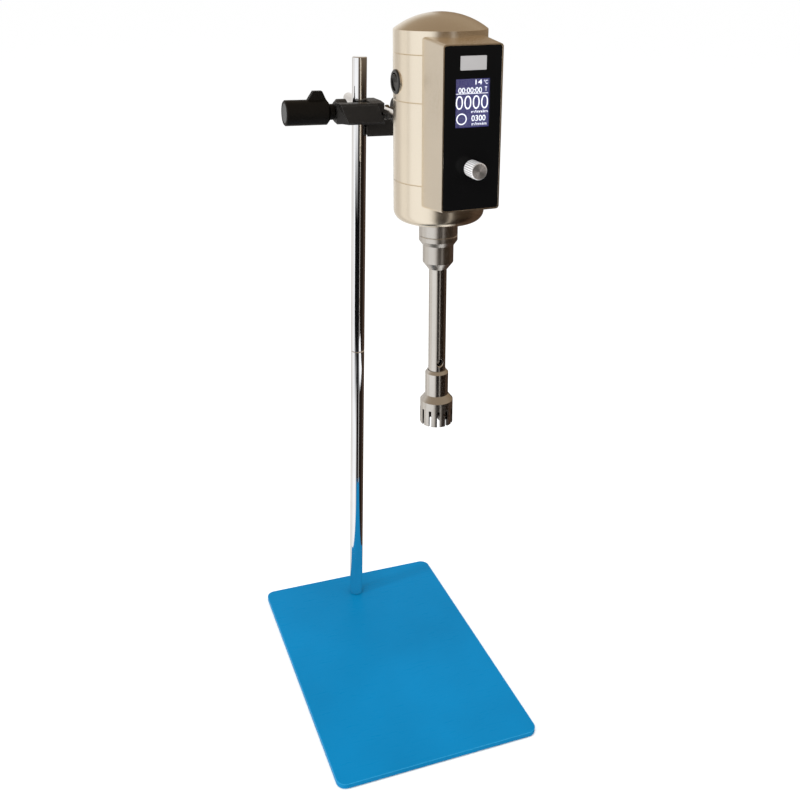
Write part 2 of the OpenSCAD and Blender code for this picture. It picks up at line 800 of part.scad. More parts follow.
module bottom_bell() {
    inner_edge_r = max(bell_edge_r - wall, 1);
    hub_r = lower_bearing_d / 2 + 4;
    color([0.78, 0.7, 0.58]) at_head() difference() {
        union() {
            difference() {
                union() {
                    rotate_extrude() intersection() {
                        bell_outline(body_r, bell_edge_r, bell_z, bell_top_z - seam_c);
                        translate([0, bell_z]) square([body_r, bell_h]);
                    }
                    translate([0, 0, bell_top_z - seam_c])
                        cylinder(r1 = body_r, r2 = body_r - seam_c, h = seam_c);
                }
                rotate_extrude() intersection() {
                    bell_outline(inner_r, inner_edge_r, bell_z + wall, bell_top_z + eps);
                    translate([0, bell_z + wall]) square([inner_r, bell_h]);
                }
            }
            turned([
                [inner_r + 0.2, bell_top_z], [lip_r, bell_top_z], [lip_r, bell_top_z + lip_h],
                [lip_r - lip_t, bell_top_z + lip_h], [lip_r - lip_t, bell_top_z - lip_h],
                [inner_r + 0.2, bell_top_z - 2 * lip_h]
            ]);
            translate([0, 0, nose_z]) cylinder(d = nose_d, h = nose_l + eps);
            translate([0, 0, bell_z + 1]) cylinder(r = hub_r, h = 3 + lower_bearing_w);
            around(6, 30) translate([hub_r - 1, -1.25, bell_z + wall - 0.5])
                cube([inner_r - bell_edge_r - hub_r, 2.5, 5]);
        }
        translate([0, 0, nose_z - eps]) cylinder(d = bell_bore_d, h = bearing_floor_z - 1.5 - nose_z + eps);
        translate([0, 0, nose_z]) cylinder(d = shaft_d + 3, h = bell_h);
        translate([0, 0, bearing_floor_z])
            cylinder(d = lower_bearing_d + 2 * run_fit, h = lower_bearing_w + eps);
        vent_row(bell_z + bell_edge_r + 1);
    }
}

// ---------- control box ----------

// Drafted block, seen from the front with corner radius r, from y0 to y1
module drafted(w, h, r, y0, y1) {
    depth = y1 - y0;
    back_w = w + 2 * depth * tan(side_draft);
    back_h = h + 2 * depth * tan(end_draft);
    sheet = 0.01;
    hull() {
        translate([0, y0 + sheet, box_centre_z]) rotate([90, 0, 0])
            linear_extrude(sheet) rounded_rect(w, h, r, $fn = hull_fn);
        translate([0, y1, box_centre_z]) rotate([90, 0, 0])
            linear_extrude(sheet) rounded_rect(back_w, back_h, r, $fn = hull_fn);
    }
}

post_x = box_w / 2 - box_wall - 3.5;
post_from_end = 11;
post_dz = box_h / 2 - post_from_end;
post_d = 6;

module at_posts() {
    for (x = [-1, 1], z = [-1, 1])
        translate([x * post_x, ledge_back_y, box_centre_z + z * post_dz]) rotate([-90, 0, 0]) children();
}

module control_box() {
    back_y = -body_r / 2;
    color([0.78, 0.7, 0.58]) at_head() difference() {
        union() {
            difference() {
                drafted(box_w, box_h, box_corner_r, box_y, back_y);
                drafted(
                    box_w - 2 * box_wall, box_h - 2 * box_wall, box_corner_r - 1, ledge_back_y, back_y + eps
                );
            }
            at_posts() translate([0, 0, -0.5]) cylinder(d = post_d, h = post_l + 0.5);
        }
        on_front(box_centre_z) translate([0, 0, -panel_t]) linear_extrude(panel_t + eps)
            rounded_rect(box_w - 2 * rim, box_h - 2 * rim, box_corner_r - rim / 2);
        on_front(box_centre_z) translate([0, 0, -panel_t - ledge_t - eps]) linear_extrude(ledge_t + 2 * eps)
            rounded_rect(box_w - 2 * (rim + ledge_w), box_h - 2 * (rim + ledge_w), 1);
        at_posts() translate([0, 0, 1]) cylinder(d = 2.5 + 2 * run_fit, h = post_l);
        translate([0, 0, box_centre_z - box_h]) cylinder(r = body_r + seat_fit, h = 2 * box_h);
    }
}

module control_panel() {
    color([0.04, 0.03, 0.04]) at_head() difference() {
        on_front(box_centre_z) translate([0, 0, -panel_t]) linear_extrude(panel_t)
            rounded_rect(
                box_w - 2 * (rim + seat_fit), box_h - 2 * (rim + seat_fit), box_corner_r - rim / 2
            );
        on_front(window_z) translate([-window_w / 2, -window_h / 2, -panel_t - eps])
            cube([window_w, window_h, panel_t + 2 * eps]);
        on_front(speed_z) translate([0, 0, -panel_t - eps])
            cylinder(d = encoder_bush_d + 2 * seat_fit, h = panel_t + 2 * eps);
    }
}

module display_window() {
    color([0.25, 0.25, 0.6, 0.5]) at_head() on_front(window_z)
        translate([seat_fit - window_w / 2, seat_fit - window_h / 2, -window_t - 0.2])
            cube([window_w - 2 * seat_fit, window_h - 2 * seat_fit, window_t]);
}

module display_module() {
    w = window_w + 2 * display_lap;
    h = window_h + 2 * display_lap;
    glass_inset = 1;
    header_t = board_y - panel_back_y - display_t;
    color([0.3, 0.3, 0.62]) at_head() on_front(window_z) {
        translate([-w / 2, -h / 2, -panel_t - display_t]) cube([w, h, display_t]);
        translate([glass_inset - window_w / 2, glass_inset - window_h / 2, -panel_t - eps])
            cube([window_w - 2 * glass_inset, window_h - 2 * glass_inset, eps + panel_t - window_t - 0.4]);
        for (s = [-1, 1]) translate([-w / 4, s * (h / 2 - 2) - 1.25, -panel_t - display_t - header_t])
            cube([w / 2, 2.5, header_t + 0.5]);
    }
}

module badge_plate() {
    color([0.75, 0.74, 0.74]) at_head() on_front(badge_z)
        linear_extrude(badge_t) rounded_rect(badge_w, badge_h, 0.6);
}

// Power parts behind the board: x, z, width, height and depth of each block
power_blocks = [[-12, 38, 10, 16, 8], [10, 36, 14, 12, 7], [-8, -40, 18, 14, 9], [13, -38, 8, 20, 6]];
capacitor_d = 10;
capacitor_h = 9;
capacitor_x = -11;
capacitor_pitch = 14;

module control_board() {
    w = 2 * post_x + post_d;
    h = 2 * post_dz + post_d;
    overlap = 0.5;
    color([0.1, 0.4, 0.2]) at_head() difference() {
        translate([0, board_y + board_t, box_centre_z]) rotate([90, 0, 0]) {
            linear_extrude(board_t) rounded_rect(w, h, 1.5);
            for (part = power_blocks) translate([part[0] - part[2] / 2, part[1] - part[3] / 2, -part[4]])
                cube([part[2], part[3], part[4] + overlap]);
            for (i = [-1 : 1]) translate([capacitor_x, 2 + i * capacitor_pitch, -capacitor_h])
                cylinder(d = capacitor_d, h = capacitor_h + overlap);
        }
        at_posts() translate([0, 0, post_l - eps]) cylinder(d = 2.5 + 4 * run_fit, h = board_t + 2 * eps);
    }
}

module board_screws() {
    color([0.7, 0.7, 0.72]) at_head() at_posts() {
        translate([0, 0, 2]) cylinder(d = 2.5, h = post_l + board_t - 1.5);
        translate([0, 0, post_l + board_t]) cylinder(d = 4.5, h = 1.6);
    }
}

// ---------- speed knob ----------

hub_w = 3;
hub_front = panel_t + 1;

module encoder_body() {
    back = panel_t + encoder_t;
    leg_l = board_y - panel_back_y - encoder_t;
    color([0.25, 0.25, 0.27]) at_head() on_front(speed_z) difference() {
        union() {
            translate([-encoder_w / 2, -encoder_w / 2, -back]) cube([encoder_w, encoder_w, encoder_t]);
            translate([0, 0, -panel_t - eps])
                cylinder(d = encoder_bush_d, h = panel_t + encoder_bush_l + eps);
            for (x = [-1, 1]) translate([x * (encoder_w / 2 - 1) - 1, -4, -back - leg_l])
                cube([2, 8, leg_l + 0.5]);
        }
        translate([0, 0, -hub_front - hub_w - 1.5])
            cylinder(d = encoder_shaft_d + 2 * run_fit, h = hub_front + hub_w + encoder_bush_l + 2 * eps);
        translate([0, 0, -hub_front - hub_w - seat_fit])
            cylinder(d = encoder_hub_d + 2 * run_fit, h = hub_w + 2 * seat_fit);
    }
}

module encoder_nut() {
    color([0.7, 0.7, 0.72]) at_head() on_front(speed_z)
        hex_nut(encoder_nut_af, encoder_bush_d + 2 * run_fit, 0, 2);
}

module encoder_hub() {
    color([0.85, 0.85, 0.8]) at_head() on_front(speed_z)
        pipe(encoder_hub_d, encoder_shaft_d + 2 * run_fit, -hub_front - hub_w, -hub_front);
}

// Depth of the knob's shaft bore, measured from the panel's face
shaft_front = speed_gap + speed_l - 2;

module encoder_shaft() {
    color([0.7, 0.7, 0.72]) at_head() on_front(speed_z)
        pin(encoder_shaft_d, -hub_front - hub_w - 0.7, shaft_front, 0.4);
}

module speed_knob() {
    z1 = speed_gap + speed_l;
    flute_r = 0.45;
    color([0.8, 0.8, 0.82]) at_head() on_front(speed_z) difference() {
        turned([
            [0, speed_gap], [speed_d / 2 - 0.3, speed_gap], [speed_d / 2, speed_gap + 0.3],
            [speed_d / 2, z1 - 0.8], [speed_d / 2 - 0.8, z1], [0, z1]
        ]);
        translate([0, 0, speed_gap - eps]) cylinder(d = encoder_nut_af / cos(30) + 1, h = encoder_bush_l + 2);
        translate([0, 0, speed_gap]) cylinder(d = encoder_shaft_d + 2 * run_fit, h = speed_l - 2 + run_fit);
        around(speed_flutes) translate([speed_d / 2 + flute_r / 3, 0, speed_gap + 2])
            cylinder(r = flute_r, h = speed_l - 3.6, $fn = 16);
    }
}

// ---------- power switch and gland ----------

bezel_bore_r = rocker_r + touch_fit;
pivot_z = bezel_t - rocker_depth;

module switch_bezel() {
    rim_c = 0.8;
    color([0.07, 0.07, 0.07]) at_head() at_switch() difference() {
        union() {
            turned([
                [0, 0], [bezel_d / 2, 0], [bezel_d / 2, bezel_t - rim_c],
                [bezel_d / 2 - rim_c, bezel_t], [0, bezel_t]
            ]);
            translate([0, 0, -switch_body_l]) cylinder(d = switch_body_d, h = switch_body_l + 0.5);
            for (y = [-1, 1]) translate([-1, y * 5 - 2.4, -switch_body_l - 7]) cube([0.8, 4.8, 8]);
        }
        translate([0, 0, pivot_z - rocker_r]) cylinder(r = bezel_bore_r, h = rocker_r + rocker_depth + eps);
        translate([0, 0, pivot_z]) rotate([90, 0, 0])
            cylinder(d = rocker_pin_d + 2 * run_fit, h = switch_body_d - 1, center = true);
    }
}

module power_rocker() {
    reach = rocker_r + 1;
    top = rocker_depth - 1.2;
    slope = reach * tan(rocker_tilt);
    color([0.1, 0.1, 0.1]) at_head() at_switch() translate([0, 0, pivot_z]) rotate([0, -rocker_tilt, 0]) {
        intersection() {
            sphere(rocker_r);
            rotate([90, 0, 0]) linear_extrude(2 * reach, center = true) polygon([
                [-reach, -rocker_depth], [reach, -rocker_depth],
                [reach, top + slope], [0, top], [-reach, top + slope]
            ]);
        }
        rotate([90, 0, 0]) cylinder(d = rocker_pin_d, h = switch_body_d - 1.6, center = true);
    }
}

module cable_gland() {
    cap_r = gland_af / 2 - 1;
    inner_z = -pad_depth - 5.5;
    color([0.1, 0.1, 0.1]) at_head() at_gland() difference() {
        union() {
            translate([0, 0, inner_z]) cylinder(d = gland_thread_d, h = 0.5 - inner_z);
            translate([0, 0, -pad_depth - 4]) cylinder(d = gland_af / cos(30), h = 4, $fn = 6);
            cylinder(d = gland_af / cos(30), h = gland_hex_t, $fn = 6);
            turned([
                [0, gland_hex_t - 0.5], [cap_r, gland_hex_t - 0.5], [cap_r, gland_hex_t + gland_cap_l - 5],
                [cap_r - 1.5, gland_hex_t + gland_cap_l - 1.5], [cap_r - 3, gland_hex_t + gland_cap_l],
                [0, gland_hex_t + gland_cap_l]
            ]);
        }
        translate([0, 0, inner_z - eps])
            cylinder(d = gland_hole_d, h = gland_hex_t + gland_cap_l - inner_z + 2 * eps);
    }
}

// ---------- motor ----------

core_lo = core_z - core_l / 2;
core_hi = core_z + core_l / 2;
armature_r = core_bore_r - air_gap;
fan_z = core_lo - coil_overhang - 6.5 - fan_h;
winding_hi = core_hi + end_winding_h;
commutator_z = winding_hi + 1;

module field_core() {
    shoe_r = core_bore_r + pole_shoe_t;
    shoe_w = 2 * shoe_r * sin(42);
    color([0.45, 0.45, 0.47]) at_head() translate([0, 0, core_lo]) linear_extrude(core_l) difference() {
        union() {
            difference() {
                circle(r = lip_r);
                circle(r = core_window_r);
            }
            difference() {
                square([2 * core_window_r + 2, pole_neck_w], center = true);
                circle(r = core_bore_r);
            }
            intersection() {
                difference() {
                    circle(r = shoe_r);
                    circle(r = core_bore_r);
                }
                union() for (x = [-1, 1])
                    translate([x * shoe_r, 0]) square([shoe_r, shoe_w], center = true);
            }
        }
        circle(r = core_bore_r);
    }
}

module field_coils() {
    shoe_r = core_bore_r + pole_shoe_t;
    x0 = shoe_r + 0.3;
    half_y = pole_neck_w / 2 + 4.5;
    x1 = sqrt(pow(core_window_r - 0.3, 2) - half_y * half_y);
    half_z = core_l / 2 + coil_overhang;
    color([0.72, 0.4, 0.15]) at_head() translate([0, 0, core_z])
        for (side = [0, 180]) rotate([0, 0, side]) difference() {
            translate([x0, -half_y, -half_z]) cube([x1 - x0, 2 * half_y, 2 * half_z]);
            translate([x0 - eps, -pole_neck_w / 2 - seat_fit, -core_l / 2 - seat_fit])
                cube([x1 - x0 + 2 * eps, pole_neck_w + 2 * seat_fit, core_l + 2 * seat_fit]);
        }
}

module bearing_bridge() {
    hub_r = upper_bearing_d / 2 + 3;
    z0 = bridge_z + bridge_t - upper_bearing_w;
    color([0.6, 0.61, 0.63]) at_head() difference() {
        union() {
            translate([0, 0, bridge_z]) cylinder(r = bridge_r, h = bridge_t);
            translate([0, 0, z0 - 1.5]) cylinder(r = hub_r, h = upper_bearing_w + 1.5);
        }
        translate([0, 0, z0]) cylinder(d = upper_bearing_d + 2 * run_fit, h = upper_bearing_w + eps);
        translate([0, 0, z0 - 1.5 - eps]) cylinder(d = shaft_d + 3, h = bridge_t + upper_bearing_w);
        around(4, 45) translate([(hub_r + bridge_r) / 2, 0, bridge_z - eps])
            cylinder(d = bridge_r - hub_r - 6, h = bridge_t + 2 * eps);
    }
}

brush_w = 8;
brush_h = 9;
brush_l = 16;
brush_z = commutator_z + commutator_l / 2;
brush_out = commutator_r + brush_l;

module at_brushes() {
    for (side = [0, 180]) rotate([0, 0, side]) translate([0, 0, brush_z]) children();
}

module brush_holders() {
    t = 1.5;
    x0 = commutator_r + 2.5;
    color([0.75, 0.62, 0.25]) at_head() at_brushes() {
        difference() {
            translate([x0, -brush_w / 2 - t, -brush_h / 2 - t])
                cube([brush_out + 3 - x0, brush_w + 2 * t, brush_h + 2 * t]);
            translate([x0 - eps, -brush_w / 2 - seat_fit, -brush_h / 2 - seat_fit])
                cube([brush_out + 1 - x0, brush_w + 2 * seat_fit, brush_h + 2 * seat_fit]);
        }
        translate([brush_out - 4, -2, brush_h / 2 + t - 0.2])
            cube([5, 4, bridge_z - brush_z - brush_h / 2 - t + 0.2]);
    }
}

module carbon_brushes() {
    color([0.15, 0.15, 0.16]) at_head() at_brushes()
        translate([commutator_r + touch_fit, -brush_w / 2, -brush_h / 2])
            cube([brush_out - commutator_r - touch_fit, brush_w, brush_h]);
}

// Shielded ball bearing drawn as one ring with its shields set back
module bearing(d, w, z0) {
    bore_r = shaft_d / 2 + run_fit;
    r = d / 2;
    land = 1.6;
    turned([
        [bore_r, z0], [bore_r + land, z0], [bore_r + land, z0 + 0.5], [r - land, z0 + 0.5], [r - land, z0],
        [r, z0], [r, z0 + w], [r - land, z0 + w], [r - land, z0 + w - 0.5],
        [bore_r + land, z0 + w - 0.5], [bore_r + land, z0 + w], [bore_r, z0 + w]
    ]);
}

module upper_bearing() {
    color([0.75, 0.76, 0.78]) at_head()
        bearing(upper_bearing_d, upper_bearing_w, bridge_z + bridge_t - upper_bearing_w);
}

module lower_bearing() {
    color([0.75, 0.76, 0.78]) at_head() bearing(lower_bearing_d, lower_bearing_w, bearing_floor_z);
}

module motor_shaft() {
    color([0.7, 0.7, 0.72]) at_head()
        pin(shaft_d, coupling_z + coupling_l / 2 + 1, bridge_z + bridge_t + 1, 0.6);
}

module on_shaft(z0, h) {
    at_head() difference() {
        children();
        translate([0, 0, z0 - eps]) cylinder(d = shaft_d + 2 * run_fit, h = h + 2 * eps);
    }
}

module armature_core() {
    slot_depth = 6;
    color([0.4, 0.4, 0.42]) on_shaft(core_lo, core_l) translate([0, 0, core_lo]) difference() {
        cylinder(r = armature_r, h = core_l);
        around(armature_slots) translate([armature_r - slot_depth, -1.2, -eps])
            cube([slot_depth + eps, 2.4, core_l + 2 * eps]);
    }
}

module armature_windings() {
    r = armature_r - 2.5;
    color([0.72, 0.4, 0.15]) {
        on_shaft(core_lo - end_winding_h, end_winding_h) turned([
            [0, core_lo], [r, core_lo], [r, core_lo - end_winding_h + 3], [r - 3, core_lo - end_winding_h],
            [0, core_lo - end_winding_h]
        ]);
        on_shaft(core_hi, end_winding_h) turned([
            [0, core_hi], [r, core_hi], [r, core_hi + end_winding_h - 3], [r - 3, core_hi + end_winding_h],
            [0, core_hi + end_winding_h]
        ]);
    }
}

module commutator() {
    slit_depth = 0.6;
    color([0.75, 0.45, 0.2]) on_shaft(winding_hi, commutator_l + 1)
        translate([0, 0, winding_hi]) difference() {
            cylinder(r = commutator_r, h = commutator_l + 1);
            around(armature_slots) translate([commutator_r - slit_depth, -0.25, 2])
                cube([slit_depth + eps, 0.5, commutator_l]);
        }
}

module cooling_fan() {
    hub_r = shaft_d / 2 + 5;
    color([0.85, 0.85, 0.82]) on_shaft(fan_z, fan_h) {
        translate([0, 0, fan_z]) cylinder(r = hub_r, h = fan_h);
        translate([0, 0, fan_z + fan_h - 1.5]) cylinder(r = fan_r, h = 1.5);
        around(fan_blades) translate([hub_r - 1, -0.8, fan_z]) rotate([0, 0, 12])
            cube([(fan_r - hub_r) * 0.92, 1.6, fan_h - 0.5]);
    }
}

module shaft_coupling() {
    mid = coupling_z + coupling_l / 2;
    color([0.6, 0.61, 0.63]) at_head() difference() {
        pin(coupling_d, coupling_z, coupling_z + coupling_l, 0.8);
        translate([0, 0, mid + 1]) cylinder(d = shaft_d + 2 * run_fit, h = coupling_l);
        translate([0, 0, coupling_z - eps]) cylinder(d = drive_d + 2 * run_fit, h = coupling_l / 2 - 1 + eps);
        // cross slits of the two jaws
        for (s = [-1, 1]) translate([0, 0, mid + s * 3.5]) rotate([0, 0, 90 + 90 * s])
            translate([1.5, -coupling_d, -0.5]) cube([coupling_d, 2 * coupling_d, 1]);
    }
}

// ---------- stem ----------

module union_nut() {
    r = union_d / 2;
    lip_in = sleeve_d / 2 + seat_fit;
    groove = 0.6;
    top = bell_z - seat_fit;
    color([0.8, 0.8, 0.8]) at_head() turned([
        [nose_d / 2 + seat_fit, top], [r - 0.5, top], [r, top - 0.5],
        [r, union_lip_z + 1], [r - groove, union_lip_z + 1 - groove], [r, union_lip_z + 1 - 2 * groove],
        [r, union_z + union_taper_h], [lip_in + 0.5, union_z], [lip_in, union_z], [lip_in, union_lip_z],
        [nose_d / 2 + seat_fit, union_lip_z]
    ]);
}

module stem_sleeve() {
    flange_r = nose_d / 2 - seat_fit;
    r = sleeve_d / 2;
    color([0.8, 0.8, 0.8]) at_head() difference() {
        turned([
            [0, nose_z], [flange_r, nose_z], [flange_r, nose_z - flange_t], [r, nose_z - flange_t],
            [r, sleeve_z], [tube_d / 2 + 1, sleeve_end_z], [0, sleeve_end_z]
        ]);
        translate([0, 0, tube_top_z + 1]) cylinder(d = bell_bore_d, h = nose_z - tube_top_z);
        translate([0, 0, sleeve_end_z - eps]) cylinder(d = tube_d + 2 * run_fit, h = tube_seat + 2 * eps);
    }
}

module stem_tube() {
    sink = 0.9;
    color([0.8, 0.8, 0.8]) at_head() difference() {
        pipe(tube_d, tube_bore_d, tube_end_z, tube_top_z);
        for (side = [90, -90]) translate([0, 0, stator_top_z + relief_up]) rotate([side, 0, 0]) {
            cylinder(d = relief_d, h = tube_d);
            translate([0, 0, tube_d / 2 - sink])
                cylinder(d1 = relief_d, d2 = relief_d + 4 * sink, h = 2 * sink);
        }
    }
}

module stem_bushes() {
    d = tube_bore_d - 2 * run_fit;
    bore = drive_d + 2 * run_fit;
    color([0.92, 0.92, 0.9]) at_head() {
        pipe(d, bore, tube_top_z - bush_l, tube_top_z);
        pipe(d, bore, tube_end_z, tube_end_z + bush_l);
    }
}

module stator_head() {
    tube_r = tube_d / 2 + run_fit;
    neck_r = neck_d / 2;
    r = stator_d / 2;
    ceiling_z = cup_top_z - 2;
    top_c = 3;
    bore_r = drive_d / 2 + 1;
    color([0.82, 0.82, 0.82]) at_head() difference() {
        turned([
            [tube_r, stator_top_z], [neck_r - top_c + 0.8, stator_top_z], [neck_r, stator_top_z - top_c],
            [neck_r, flare_top_z], [r, cup_top_z], [r, mouth_z + 0.3], [r - 0.3, mouth_z],
            [cup_r, mouth_z], [cup_r, ceiling_z], [bore_r, ceiling_z], [bore_r, tube_end_z],
            [tube_r, tube_end_z]
        ]);
        around(stator_slots, 15) translate([cup_r - 2, -slot_w / 2, mouth_z - eps])
            cube([stator_wall + 4, slot_w, slot_h + eps]);
    }
}

rotor_seat = 5;
rotor_screw_d = 4;
rotor_thread_l = 10;

module drive_shaft() {
    z0 = rotor_top_z - rotor_seat;
    color([0.75, 0.75, 0.77]) at_head() difference() {
        pin(drive_d, z0, coupling_z + coupling_l / 2 - 1.2, 0.5);
        translate([0, 0, z0 - eps]) cylinder(d = rotor_screw_d + 2 * run_fit, h = rotor_thread_l + eps);
    }
}

// Hub with upright blades that sweep the slotted wall
module rotor() {
    r = cup_r - shear_gap;
    hub_r = drive_d / 2 + 2;
    color([0.78, 0.78, 0.78]) at_head() difference() {
        union() {
            translate([0, 0, rotor_z]) cylinder(r = hub_r, h = rotor_h);
            intersection() {
                translate([0, 0, rotor_z]) cylinder(r = r, h = rotor_h);
                around(rotor_blades) {
                    translate([0, -blade_t / 2, rotor_z]) cube([2 * r, blade_t, rotor_h]);
                    rotate([0, 0, 14]) translate([r - 3, -blade_t / 2, rotor_z]) cube([r, blade_t, rotor_h]);
                }
            }
        }
        translate([0, 0, rotor_top_z - rotor_seat]) cylinder(d = drive_d + 2 * run_fit, h = rotor_h);
        translate([0, 0, rotor_z - eps]) cylinder(d = rotor_screw_d + 2 * run_fit, h = rotor_h);
        translate([0, 0, rotor_z - eps]) cylinder(d = 8 + 2 * run_fit, h = 2.4 + eps);
    }
}

module rotor_screw() {
    color([0.7, 0.7, 0.72]) at_head() translate([0, 0, rotor_z]) difference() {
        union() {
            translate([0, 0, 0.1]) cylinder(d = 8, h = 2.3);
            translate([0, 0, 2]) cylinder(d = rotor_screw_d, h = rotor_h - rotor_seat + rotor_thread_l - 4);
        }
        translate([-4, -0.6, -eps]) cube([8, 1.2, eps + 1.1]);
    }
}

rubber_mat();
base_plate();
foot_screw();
lower_rod();
rod_stud();
upper_rod();
boss_head();
rod_clamp_pad();
rod_clamp_screw();
rod_clamp_knob();
arm_clamp_pad();
arm_clamp_screw();
arm_clamp_knob();
support_arm();
arm_locknut();
top_cap();
switch_ring();
motor_housing();
bottom_bell();
control_box();
control_panel();
display_window();
display_module();
badge_plate();
control_board();
board_screws();
encoder_body();
encoder_nut();
encoder_hub();
encoder_shaft();
speed_knob();
switch_bezel();
power_rocker();
cable_gland();
field_core();
field_coils();
bearing_bridge();
brush_holders();
carbon_brushes();
upper_bearing();
lower_bearing();
motor_shaft();
armature_core();
armature_windings();
commutator();
cooling_fan();
shaft_coupling();
union_nut();
stem_sleeve();
stem_tube();
stem_bushes();
stator_head();
drive_shaft();
rotor();
rotor_screw();
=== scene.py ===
"""Looks of a rotor stator homogenizer on its rod stand, in metres, in the CAD frame.

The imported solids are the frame. Each sub-assembly is a class that dresses its solids and adds the
small pieces that only show: the display's digits and the discs in the ends of the clamp's knobs.
"""

import json
import logging
import math
from dataclasses import dataclass, field, replace
from enum import Enum
from typing import ClassVar

import bmesh
import bpy
from mathutils import Matrix, Vector


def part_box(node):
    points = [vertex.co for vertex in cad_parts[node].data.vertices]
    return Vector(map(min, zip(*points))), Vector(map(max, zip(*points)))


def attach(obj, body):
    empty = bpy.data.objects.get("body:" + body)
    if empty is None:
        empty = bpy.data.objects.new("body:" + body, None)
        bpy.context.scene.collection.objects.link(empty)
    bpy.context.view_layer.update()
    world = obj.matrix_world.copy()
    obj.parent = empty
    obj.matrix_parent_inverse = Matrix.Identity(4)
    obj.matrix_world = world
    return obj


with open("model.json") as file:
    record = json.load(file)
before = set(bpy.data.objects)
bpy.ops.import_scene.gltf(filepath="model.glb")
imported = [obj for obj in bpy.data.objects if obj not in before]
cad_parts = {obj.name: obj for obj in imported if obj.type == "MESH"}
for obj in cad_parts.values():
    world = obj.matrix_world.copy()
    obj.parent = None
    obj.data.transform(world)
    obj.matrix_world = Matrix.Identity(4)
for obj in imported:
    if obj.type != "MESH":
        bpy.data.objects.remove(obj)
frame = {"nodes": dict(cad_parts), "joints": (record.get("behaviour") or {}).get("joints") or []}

LOG = logging.getLogger("homogenizer")
MM = 0.001

Triple = tuple[float, float, float]

BLACK: Triple = (0.0, 0.0, 0.0)
WHITE: Triple = (1.0, 1.0, 1.0)
ALONG_Y: Triple = (1.0, 0.05, 1.0)
ALONG_Z: Triple = (1.0, 1.0, 0.05)


class Axis(Enum):
    """Direction that a turned or drawn surface follows."""

    X = (1.0, 0.0, 0.0)
    Y = (0.0, 1.0, 0.0)
    Z = (0.0, 0.0, 1.0)


# ----------------------------------------
# Node trees
# ----------------------------------------


class Tree:
    """Shorthand for building any shader node tree."""

    def __init__(self, tree: bpy.types.NodeTree) -> None:
        """Empties a tree and takes it over.

        Args:
            tree: the node tree.
        """
        self.tree = tree
        self.tree.nodes.clear()

    def node(self, kind: str, **settings: object) -> bpy.types.Node:
        """Adds a node.

        Args:
            kind: Blender's node type.
            settings: properties to set on it.

        Returns:
            The new node.
        """
        made = self.tree.nodes.new(kind)
        for key, value in settings.items():
            setattr(made, key, value)
        return made

    def link(self, source: bpy.types.NodeSocket, target: bpy.types.NodeSocket) -> None:
        """Joins two sockets."""
        self.tree.links.new(source, target)

    def plug(self, target: bpy.types.NodeSocket, value: object) -> None:
        """Sets a socket to a constant, or links it where the value is a socket.

        Args:
            target: the input socket.
            value: a number, a tuple or an output socket.
        """
        if isinstance(value, bpy.types.NodeSocket):
            self.link(value, target)
        else:
            target.default_value = value

    def math(self, operation: str, first: object, second: object = 0.0) -> bpy.types.NodeSocket:
        """Adds a Math node and returns its value."""
        made = self.node("ShaderNodeMath", operation=operation)
        self.plug(made.inputs[0], first)
        self.plug(made.inputs[1], second)
        return made.outputs[0]

    def mix(
        self, factor: object, first: object, second: object, blend: str = "MIX"
    ) -> bpy.types.NodeSocket:
        """Mixes two colours and returns the result.

        Args:
            factor: share of the second colour.
            first: a colour or a socket.
            second: a colour or a socket.
            blend: Blender's blend type.

        Returns:
            The mixed colour.
        """
        made = self.node("ShaderNodeMix", data_type="RGBA", blend_type=blend)
        self.plug(made.inputs[0], factor)
        for socket, value in ((made.inputs[6], first), (made.inputs[7], second)):
            self.plug(socket, (*value, 1.0) if isinstance(value, tuple) else value)
        return made.outputs[2]


